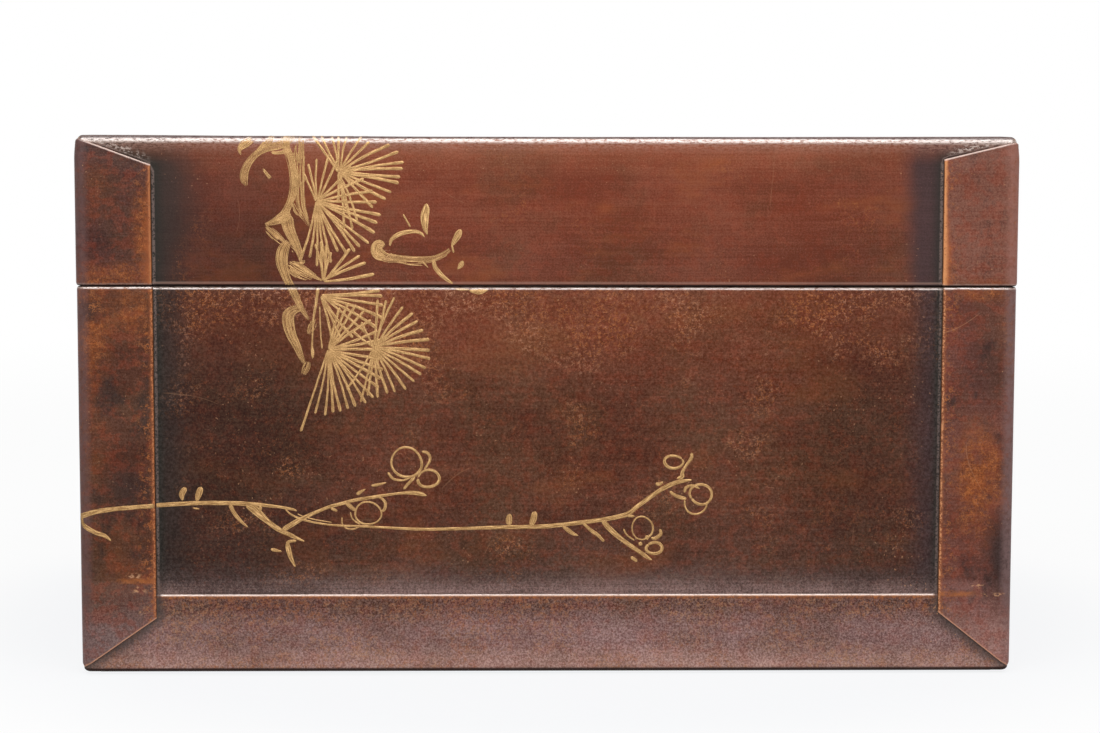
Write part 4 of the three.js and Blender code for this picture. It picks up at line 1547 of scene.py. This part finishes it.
# %% Paint the pine
hand = random.Random(7)
pine = {"lid": Gilding(), "base": Gilding()}
NEEDLE_WIDTH = 3.1  # pixels, at the tip
NEEDLE_START = 2.4
FANS = {
    (317, 201.5): [(303.5, 173), (308, 163.5), (316.6, 158.5), (329, 153.5), (339, 157), (351, 165),
                   (364, 178.5), (373, 191), (377, 202), (381, 215), (377.5, 223), (375, 233),
                   (369, 243.5), (360, 247), (355, 252), (347.5, 255), (338, 252), (331, 263),
                   (326, 268), (317, 266.5), (309.5, 258), (300, 261)],
    (339, 172): [(390, 143.5), (398.5, 151), (404, 162), (403, 168.5), (400.5, 177), (399, 183),
                 (391.5, 192.5), (386, 199.5), (373, 208), (357.5, 222), (352.5, 229.5), (344, 229),
                 (348.5, 215), (338, 203), (369.5, 140.5), (367, 126), (351.5, 120), (337.5, 118),
                 (328, 122), (318.5, 127), (311, 132)],
    (323.5, 281): [(350, 248.5), (360, 255.5), (366, 262.5), (374.5, 274), (315, 243.5), (321, 241),
                   (326, 245), (331, 252)],
    (321, 296): [(380, 290.5), (382.5, 296), (383.5, 305.5), (384, 318.5), (377, 328), (366, 333),
                 (353, 338), (342, 341), (332, 339)],
    (328.5, 350): [(339.5, 307.5), (348, 303.5), (356, 304.5), (364, 311), (371, 320), (378, 331),
                   (381, 340), (383, 350), (384, 360), (383, 370), (381, 379), (379, 388),
                   (373.5, 398), (366, 403.5), (355.5, 407), (348, 409.5), (340.5, 412),
                   (333, 413), (325, 416), (315, 414), (300.5, 432)],
    (374, 347.5): [(377.5, 299.5), (386, 300), (394.5, 297), (403, 306.5), (413, 313), (418, 321),
                   (423.5, 330), (429.5, 339.5), (430, 350.5), (430.5, 359), (426, 368.5),
                   (421.5, 375), (414.5, 382), (406, 390), (395, 392.5), (387.5, 394), (377.5, 398),
                   (367.5, 396), (360.5, 402.5), (346.5, 389.5), (352, 331), (361, 322)],
}


def needle(middle, tip):
    bow = hand.uniform(-0.03, 0.03)
    dx, dy = tip[0] - middle[0], tip[1] - middle[1]
    start = (middle[0] + dx * 0.01 + hand.uniform(-1, 1), middle[1] + dy * 0.01 + hand.uniform(-1, 1))
    width = NEEDLE_WIDTH * hand.uniform(0.88, 1.12) * (1 + 0.25 * max(dx, 0) / math.hypot(dx, dy))
    points = [
        (*start, NEEDLE_START),
        (middle[0] + dx * 0.5 - dy * bow, middle[1] + dy * 0.5 + dx * bow, width * 0.8),
        (*tip, width),
    ]
    stroke(pine, points)


for middle, tips in FANS.items():
    for tip in tips:
        needle(middle, tip)

TRUNK = [
    # the hook to the left, and the two stems that come over the lid's edge
    (10, 0.20, [(296, 120, 12), (292, 133, 11), (286, 141, 10), (277, 145, 8.5), (266, 148, 7),
                (256, 154, 6.5), (248.5, 163, 7), (244.5, 172, 8), (244, 180, 7), (246.5, 186, 2)]),
    (7, 0.30, [(272, 134, 6), (268, 141, 7), (261, 147.5, 5), (254.5, 155, 3)]),
    (10, 0.25, [(285, 134, 9), (286, 146, 8), (289, 155, 8), (292, 167, 8), (293.5, 180, 8),
                (293, 191, 8), (290, 202, 7), (286.5, 210, 8), (284, 216, 11)]),
    (12, 0.50, [(299.5, 130, 8), (300, 142, 9), (300, 150, 10), (299.5, 162, 11), (299, 175, 12),
                (299, 188, 13), (299.5, 199, 12), (301, 208, 10), (304, 216, 8), (307, 222, 5),
                (309, 227, 2)]),
    (6, 0.55, [(296, 143, 6), (295, 156, 5), (296, 168, 5), (297, 181, 5)]),
    (5, 0.25, [(290, 150, 5), (282, 152.5, 5), (274, 153, 4), (271, 151.5, 2)]),
    (6, 0.25, [(252, 138, 7), (246, 142, 9), (240.5, 147, 6), (239.5, 151, 3), (241, 155, 1)]),
    (3, 0.10, [(262.5, 168.5, 2), (266, 173, 3), (270.5, 178.5, 4)]),
    # the knot, and the stem's way down to the seam
    (9, 0.05, [(264.5, 224.5, 2), (270, 223, 5), (276, 220.5, 8), (283, 217, 11), (289, 213, 9)]),
    (13, 0.50, [(265.5, 226, 5), (270, 229.5, 10), (276, 234.5, 12), (282, 240.5, 10), (286, 245, 6)]),
    (11, 0.08, [(286, 213, 9), (287, 220, 13), (288.5, 227, 12), (291, 234, 10.5), (295, 242, 9),
                (298, 249, 7), (300, 256, 5), (300.5, 262, 2)]),
    (7, 0.55, [(293, 203, 5), (296.5, 210, 7), (301.5, 216.5, 6), (306, 222, 3)]),
    (8, 0.72, [(289, 246, 5), (293, 251, 9), (297, 256, 7), (300, 260, 3)]),
    (4, 0.10, [(299.5, 261, 5), (303, 262.5, 4), (304.5, 260, 1.5)]),
    (12, 0.18, [(289, 241.5, 6), (285, 246.5, 10), (282.5, 253, 12), (282, 262, 12), (284.5, 272, 9.5),
                (288, 281, 8), (294, 293, 8), (299, 303, 6.5), (303.5, 312, 4.5), (309, 320, 2)]),
    (10, 0.42, [(289, 262, 9), (300, 269, 11), (312, 276, 8), (322, 281, 3)]),
    (7, 0.55, [(288, 269, 5), (298, 275.5, 6), (308, 279.5, 4)]),
    (12, 0.28, [(302, 308.5, 5), (295, 309.5, 8), (288.5, 315, 12), (288.5, 325, 12), (291.5, 336, 10),
                (297, 347, 8), (301, 357, 5.5), (304, 364, 3)]),
    (9, 0.35, [(308.5, 361.5, 6), (307, 368, 10), (303.5, 375, 6)]),
    (8, 0.45, [(314.5, 318.5, 6), (312, 326, 8), (308.5, 334.5, 5)]),
    (5, 0.60, [(288, 349, 5), (285.5, 357, 6), (285, 365, 3)]),
]
THIN_LINES = [
    [(318, 287, 4), (316, 303, 3), (313.5, 319, 2.5), (312, 344, 2), (312.5, 352, 4), (312.5, 359, 1.5)],
    [(319.5, 306, 1.6), (320.5, 331, 1.6), (322, 349, 1.8)],
]
for bristles, dry, points in TRUNK:
    stroke(pine, points, bristles, dry)
for points in THIN_LINES:
    stroke(pine, points)

pine_pieces = [pine[body].make("pine_on_" + body, body) for body in ("lid", "base")]
report("pine", pine_pieces)

# %% [markdown]
# The plum twigs are quick strokes: a branch that is broken at its joints, oval buds pressed from
# the side of the brush, and blossoms drawn as open loops. A loop is an arc given by its middle,
# its radii and the turn that it sweeps.

# %% Paint the plum twigs
plum = {"lid": Gilding(), "base": Gilding()}
LINE_STROKES = [
    # the twig on the lid
    [(389.9, 246.3, 2), (391.3, 240, 4), (397.5, 235, 5), (406.4, 232, 5), (415.4, 231.5, 4),
     (421.6, 233.8, 3), (424.7, 237.3, 1)],
    [(427.4, 235, 1), (425.2, 227.5, 6.5), (424.7, 216.8, 9.5), (426, 209, 8), (426.3, 203.4, 3)],
    [(402.9, 214, 2), (410.4, 227, 2)],
    [(452, 246, 3), (454.6, 241, 6), (458.2, 234.6, 8), (460.9, 229.3, 4)],
    [(451.5, 244, 2), (453.8, 253, 2.5)],
    [(457.5, 269.5, 1.5), (461, 265, 6), (462.7, 260.5, 3)],
    [(433.2, 259, 4), (435, 266.8, 5), (440.4, 273.9, 5), (446.6, 279.3, 4), (452.9, 283.8, 2)],
    [(421.6, 261, 2.5), (428.3, 267.7, 1.2)],
    [(395.7, 261, 1), (408.2, 264.5, 1.2), (422.5, 265.5, 1)],
    [(455, 289, 2), (462, 289.5, 3), (469, 289.5, 2)],
    [(469, 291, 2), (479, 291.5, 7), (488, 290, 2)],
    # the branch on the base, from the left corner
    [(60, 522, 2), (70, 519, 5), (81.5, 516, 6), (94.4, 511.8, 5.5), (111.6, 509.2, 5.5),
     (128.9, 507.5, 5), (154.7, 505.7, 5), (180.5, 504, 5), (197.7, 503.3, 5), (223.5, 503.3, 5),
     (249.3, 504.2, 5), (275, 506.6, 3.5), (292.4, 509.5, 3), (297, 511.5, 1.2)],
    [(81.5, 516, 4), (83, 524.5, 5.5), (94.4, 531.5, 5), (104.8, 535.5, 4.5), (111.5, 540.5, 1.5)],
    [(285, 509.5, 1.5), (291.4, 515, 2.2), (301.6, 519.5, 2.5), (315.7, 523, 2.3), (328.4, 524.9, 2.3),
     (341.2, 526, 2.4), (360.3, 526.6, 2.7), (385.8, 527.8, 2.8), (405.9, 528.9, 3.3), (428.9, 529.5, 3.6),
     (451.8, 529.2, 3.6), (474.8, 528.4, 3.8), (500, 527.6, 4.3), (540, 526.8, 4.9), (560, 525.2, 5),
     (581.7, 522.7, 5), (603.4, 519.7, 5), (622.9, 515.9, 5.5), (630.5, 512.4, 5.5),
     (638, 506.3, 5), (650, 497.5, 5), (663, 488.8, 5), (677, 482.6, 5), (692, 480.1, 1.8)],
    [(297, 514, 1), (304, 517, 1.3), (318, 520.5, 1.4), (332, 522.6, 1)],
    # buds along it
    [(182.5, 501, 2.5), (181.8, 494, 7), (185.6, 487.7, 6)],
    [(196.5, 501.5, 4), (198.6, 494, 7.5), (201, 487, 6)],
    [(192.5, 508.3, 2), (199.4, 509.2, 2)],
    [(509.5, 526, 6), (509, 519.6, 7.5), (509.8, 514, 5)],
    [(531, 526.5, 5), (533.4, 519.6, 7.5), (535, 511.5, 6)],
    # twigs that hang from it
    [(229.5, 504.5, 5), (234, 513.2, 4.5), (239, 519.5, 4), (244.2, 524.6, 2.5), (248, 527.6, 1)],
    [(245.5, 505, 6), (253, 508.5, 10), (260, 515, 8.5), (268.5, 522.4, 6), (277.4, 529, 6),
     (288.9, 534.8, 5), (299, 539.3, 3), (304.5, 541.8, 1)],
    [(259, 505.5, 3), (260.5, 508.5, 3.5), (259, 512, 3)],
    [(282.5, 530.5, 6), (291.4, 524.8, 6), (302.9, 518.3, 5), (315.7, 512.5, 4), (328.4, 507.4, 4),
     (342.4, 503.6, 4), (355.2, 500.4, 4), (373, 497.2, 3.6), (392.2, 494.4, 3), (406, 493, 3.6),
     (413, 493, 5), (421, 494.2, 5), (426.8, 495.9, 1.2)],
    [(296.5, 541, 3), (291, 541.5, 3.5), (287.8, 543, 4), (288.2, 549, 6), (290.8, 557.8, 5),
     (295.3, 567.4, 1.8)],
    [(270.4, 549.5, 3), (275, 550.5, 4), (281.9, 551.8, 1.5)],
    [(330.5, 508.5, 3.5), (337.3, 511.3, 3)],
    [(345, 502.5, 4), (350, 506.5, 5), (355.2, 510.8, 3.5)],
    [(356.5, 495, 4.5), (360, 492.5, 4), (365.4, 489.2, 1.2)],
    [(370.9, 486, 2), (377, 485, 3.6), (386.4, 482.8, 1)],
    [(403.6, 489.6, 3), (409, 483, 3.5), (415, 477, 3)],
    [(602.3, 519.5, 5), (606.6, 525.6, 6), (614.2, 533.2, 6), (625, 541.9, 5), (635.9, 549.5, 5),
     (646.7, 557, 4), (652.2, 560.3, 1.5)],
    [(582.8, 523, 3), (590.4, 530, 4), (598, 535.4, 4), (602.3, 539.7, 3), (604.3, 541.6, 4)],
    [(562.2, 526.4, 2), (567.6, 530, 5), (573, 533.8, 4), (578.4, 535.9, 1)],
    [(627.2, 515.9, 4), (634.8, 516.6, 2.5)],
    [(655.4, 484, 4), (659.7, 484.4, 4), (663.5, 481.7, 1.2)],
    [(630.5, 557, 4), (637.5, 561.6, 4)],
    [(669.5, 491.6, 3), (677, 496.4, 4), (686.8, 499.2, 3.6)],
    # the odd petals that stay open
    [(341.8, 517, 1.6), (342.4, 524.6, 1.7), (347.5, 529, 1.8), (355, 529, 1.8), (360.5, 525.5, 1.5)],
    [(371, 499, 2.2), (379, 497.5, 2.4), (385, 502.5, 3.4), (384.5, 509.5, 3.4), (381, 512, 2)],
    [(350, 512, 1.6), (352.7, 519.5, 1.6), (360.3, 525, 1.6)],
    [(387.6, 472.5, 3), (393.3, 479, 3), (402.5, 480.5, 2.2), (410.5, 478.2, 1)],
    [(421.5, 451.8, 3), (427.7, 453.4, 3.5), (430, 459.9, 3), (424.3, 470.2, 2)],
    [(691.7, 453, 3.6), (691.4, 458.4, 4), (685.8, 466.4, 3), (682.5, 472.5, 4), (682.3, 477, 5),
     (677, 479, 3)],
    [(684.7, 493, 3), (686.2, 487.8, 3.4), (692.5, 485.8, 2.8), (699.9, 488.8, 2)],
    [(623.4, 528.9, 2), (627.2, 535.4, 2), (634.8, 540.8, 1.5)],
    [(659.7, 528.9, 2.6), (660.8, 534.3, 4), (655, 538.7, 4), (651, 538, 2)],
    [(646, 535.5, 5), (648, 540, 6)],
    [(638.5, 543, 5), (642.5, 545, 5)],
]
LID_BRANCH = [
    (8, 0.0, [(384.5, 246.5, 3), (381, 244.5, 9), (378, 245.5, 11.5), (376.5, 249.5, 12.5),
              (378.5, 254, 12.5), (384, 257, 10)]),
    (8, 0.22, [(375, 249, 9), (385, 256.5, 10.5), (395.7, 258.5, 8.5), (409, 260.2, 8),
               (422.5, 260.2, 7.5), (434, 258.6, 6), (443.9, 254.5, 5.5), (450.5, 249.5, 4)]),
]
LOOPS = [
    # middle, radii, from and to in turns clockwise from the right, widths at start, side and end
    ((368, 513.5), (12.8, 11.6), (0.52, 1.55), (2.2, 2.0, 2.4)),
    ((406.5, 462.7), (15.4, 14.8), (0.10, 1.14), (3.6, 2.2, 3.2)),
    ((428.5, 478.8), (10.8, 8.6), (0.52, 1.50), (2.2, 3.4, 3.4)),
    ((673.8, 462.2), (9.6, 6.2), (-0.08, 0.92), (2.4, 3.6, 2.6)),
    ((701, 494.5), (11.2, 9.8), (0.42, 1.42), (2.8, 3.2, 3.0)),
    ((695.5, 503), (11.4, 11.2), (-0.02, 0.54), (2.2, 2.2, 2.0)),
    ((642.4, 528.4), (10.8, 11.2), (0.16, 1.18), (1.6, 1.8, 2.4)),
    ((654.3, 548.4), (7.8, 5.8), (0.60, 1.62), (3.4, 3.6, 3.4)),
]
LOOP_POINTS = 12


def loop(middle, radii, sweep, widths):
    """An open loop, a little out of round."""
    points = []
    leans = [hand.uniform(0, 2 * math.pi) for _ in range(2)]
    for i in range(LOOP_POINTS + 1):
        share = i / LOOP_POINTS
        angle = 2 * math.pi * (sweep[0] + (sweep[1] - sweep[0]) * share)
        width = np.interp(share, (0, 0.5, 1), widths)
        swell = 1 + 0.035 * math.sin(2 * angle + leans[0]) + 0.025 * math.sin(3 * angle + leans[1])
        points.append((middle[0] + radii[0] * swell * math.cos(angle),
                       middle[1] + radii[1] * swell * math.sin(angle), width))
    stroke(plum, points)


for points in LINE_STROKES:
    stroke(plum, points)
for entry in LOOPS:
    loop(*entry)
for bristles, dry, points in LID_BRANCH:
    stroke(plum, points, bristles, dry)

plum_pieces = [plum[body].make("plum_on_" + body, body) for body in ("lid", "base")]
report("plum", plum_pieces)

# %% [markdown]
# Inside, the box is plain. The boards and walls are bare softwood, the rim strips are lacquered
# and rubbed where the lid slides over them, and the faces are lined with paper that has yellowed.
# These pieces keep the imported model's shape, so they only take a finish.

# %% Finish the wood, the rim strips, the paper and the underside
def wood_finish():
    made = new_finish("carcass_wood")
    bend = made.cloud(9, detail=2) * 0.02
    rings = made.cloud(1, (5, 240, 240), detail=4, roughness=0.6, bend=0.3)
    pores = made.cloud(1, (60, 1900, 1900), detail=2)
    made.tone = made.mix((rings + bend).step(0.36, 0.66),
                         colour(0.50, 0.31, 0.16), colour(0.30, 0.16, 0.075))
    made.lay(pores.step(0.60, 0.74) * 0.5, colour(0.17, 0.085, 0.04))
    made.lay(made.cloud(14, detail=4).step(0.5, 0.72) * 0.4, colour(0.20, 0.12, 0.07))
    return made.finish(pores * 0.2 + 0.62, made.bump(rings + pores * 0.4, 0.2 * MM, 0.5), 0.3)


def rim_finish():
    made = new_finish("lacquered_wood")
    rise = made.axis("Z").step(RIM, highest("rim_strip_front").z)
    share = brushed(made, 31.0)
    made.tone = made.mix(share, colour(0.018, 0.011, 0.009), colour(0.055, 0.022, 0.013))
    rubbed = (rise.step(0.6, 1) * 0.22 + made.cloud(420, detail=5, roughness=0.75)).step(0.60, 0.78)
    made.lay(rubbed, colour(0.30, 0.13, 0.05))
    normal = grain(made, 0.2, rubbed * 0.6 + share * 0.4, 0.12 * MM)
    return made.finish(rubbed * 0.25 + 0.3, normal, 0.3, (0.3 - rubbed * 0.3, 0.15))


def paper_finish():
    made = new_finish("lining")
    fibres = made.cloud(300, (1, 1, 2.2), detail=4, roughness=0.7, bend=2.0)
    fox = made.cloud(26, detail=5, roughness=0.7).step(0.54, 0.74)
    spots = made.cloud(170, shift=(8, 0, 0), detail=2).step(0.70, 0.78)
    made.tone = made.mix(fibres.step(0.3, 0.7), colour(0.50, 0.39, 0.25), colour(0.62, 0.51, 0.35))
    made.lay(fox * 0.45, colour(0.36, 0.23, 0.12))
    made.lay(spots * 0.5, colour(0.24, 0.13, 0.06))
    return made.finish(0.85, made.bump(fibres + made.cloud(60, detail=3) * 0.8, 0.15 * MM, 0.5), 0.2)


def underside_finish():
    made = new_finish("underside_leather")
    share = brushed(made, 27.0)
    scuffed = made.cloud(46, detail=5, roughness=0.7)
    made.tone = made.mix(share, colour(0.050, 0.024, 0.018), colour(0.115, 0.055, 0.038))
    made.lay(scuffed.step(0.54, 0.70) * 0.7, colour(0.22, 0.13, 0.085))
    worn = flecks(made, scuffed.step(0.48, 0.6), 0.08)
    made.lay(worn * 0.6, TAN)
    normal = grain(made, 0.7, worn * 0.4 + scuffed * 0.8, 0.3 * MM)
    return close_leather(made, normal, 0.1, scuffed * 0.2 + 0.5)


def give_finish(finish, *prefixes):
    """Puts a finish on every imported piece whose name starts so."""
    named = [node for name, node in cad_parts.items() if name.startswith(prefixes)]
    for node in named:
        for slot in node.material_slots:
            slot.material = finish
    return len(named)


print("wood:", give_finish(wood_finish(), "lid_top_board", "lid_wall", "base_floor_board", "base_wall"))
print("rim strips:", give_finish(rim_finish(), "rim_strip"))
print("paper:", give_finish(paper_finish(), "lid_lining", "base_lining"))
print("underside:", give_finish(underside_finish(), "base_underside"))

# %% [markdown]
# The box was photographed on a white sweep, under a wide soft lamp overhead and a little in front.
# The lamp lights the box evenly, and its reflection adds to the glints painted on the rounded edges. The
# world is dimmer than white as light, but white to the eye, so the background is white and the leather
# isn't washed out. The floor's own white is mixed in the same way, and keeps a shadow.

# %% Set up the light and the floor
WORLD_LIGHT = 0.55
FLOOR_SIZE = 60.0
FLOOR_NEAR = colour(0.950, 0.957, 0.970)
FLOOR_WHITE, FLOOR_FAR = (0.19, 0.30), (0.5, 1.6)  # from where to where, in metres out
FLOOR_SHADE = 0.10  # share of real light and shadow on the floor that the eye sees
LAMP_TARGET = (0, -0.1, 0.1)
LAMPS = {
    # place, size and power, and whether it lights what is dull
    "overhead_lamp": ((0, -0.9, 1.5), (1.8, 0.9), 17, True),
    "glint_lamp": ((0, -1.0, 1.17), (1.8, 1.5), 115, False),
}


def seen(made):
    """1 for what the camera sees, also in a reflection or through glass, and 0 for lighting."""
    kinds = ("Is Camera Ray", "Is Glossy Ray", "Is Transmission Ray")
    camera_ray, glossy, through = (made.node("ShaderNodeLightPath", {}, {}, kind) for kind in kinds)
    return camera_ray | glossy | through


def white_world():
    made = Finish(bpy.data.worlds.new("studio"))
    strength = seen(made) * (1 - WORLD_LIGHT) + WORLD_LIGHT
    white = {"Color": colour(1.0, 1.0, 1.0), "Strength": strength}
    bpy.context.scene.world = made.close(made.node("ShaderNodeBackground", {}, white),
                                         "ShaderNodeOutputWorld")


def soft_lamp(name, place, size, power, lights_dull):
    data = bpy.data.lights.new(name, "AREA")
    data.shape = "RECTANGLE"
    data.size, data.size_y = size
    data.energy = power
    lamp = bpy.data.objects.new(name, data)
    bpy.context.collection.objects.link(lamp)
    lamp.location = place
    lamp.rotation_euler = (Vector(LAMP_TARGET) - Vector(place)).to_track_quat("-Z", "Y").to_euler()
    lamp.visible_diffuse = lights_dull


def white_floor():
    made = new_finish("white_sweep")
    spot = made.node("ShaderNodeVectorMath", {"operation": "LENGTH"}, {0: made.place()}, "Value")
    white = made.mix(spot.step(*FLOOR_WHITE), FLOOR_NEAR, colour(1.0, 1.0, 1.0))
    lit = made.node("ShaderNodeBsdfDiffuse", {}, {"Color": colour(0.9, 0.91, 0.92)})
    plain = made.node("ShaderNodeEmission", {}, {"Color": white, "Strength": 1.0})
    far = spot.step(*FLOOR_FAR)
    clean = seen(made) * (far * FLOOR_SHADE + (1 - FLOOR_SHADE))
    both = made.node("ShaderNodeMixShader", {}, {0: clean, 1: lit, 2: plain})
    mesh = bpy.data.meshes.new("floor")
    reach = FLOOR_SIZE / 2
    mesh.from_pydata([(-reach, -reach, 0), (reach, -reach, 0), (reach, reach, 0), (-reach, reach, 0)],
                     [], [(0, 1, 2, 3)])
    mesh.materials.append(made.close(both))
    floor = bpy.data.objects.new("floor", mesh)
    bpy.context.collection.objects.link(floor)


white_world()
white_floor()
for name, settings in LAMPS.items():
    soft_lamp(name, *settings)
bpy.context.scene.view_settings.view_transform = "Standard"
print("lamps:", [lamp.name for lamp in bpy.data.lights])
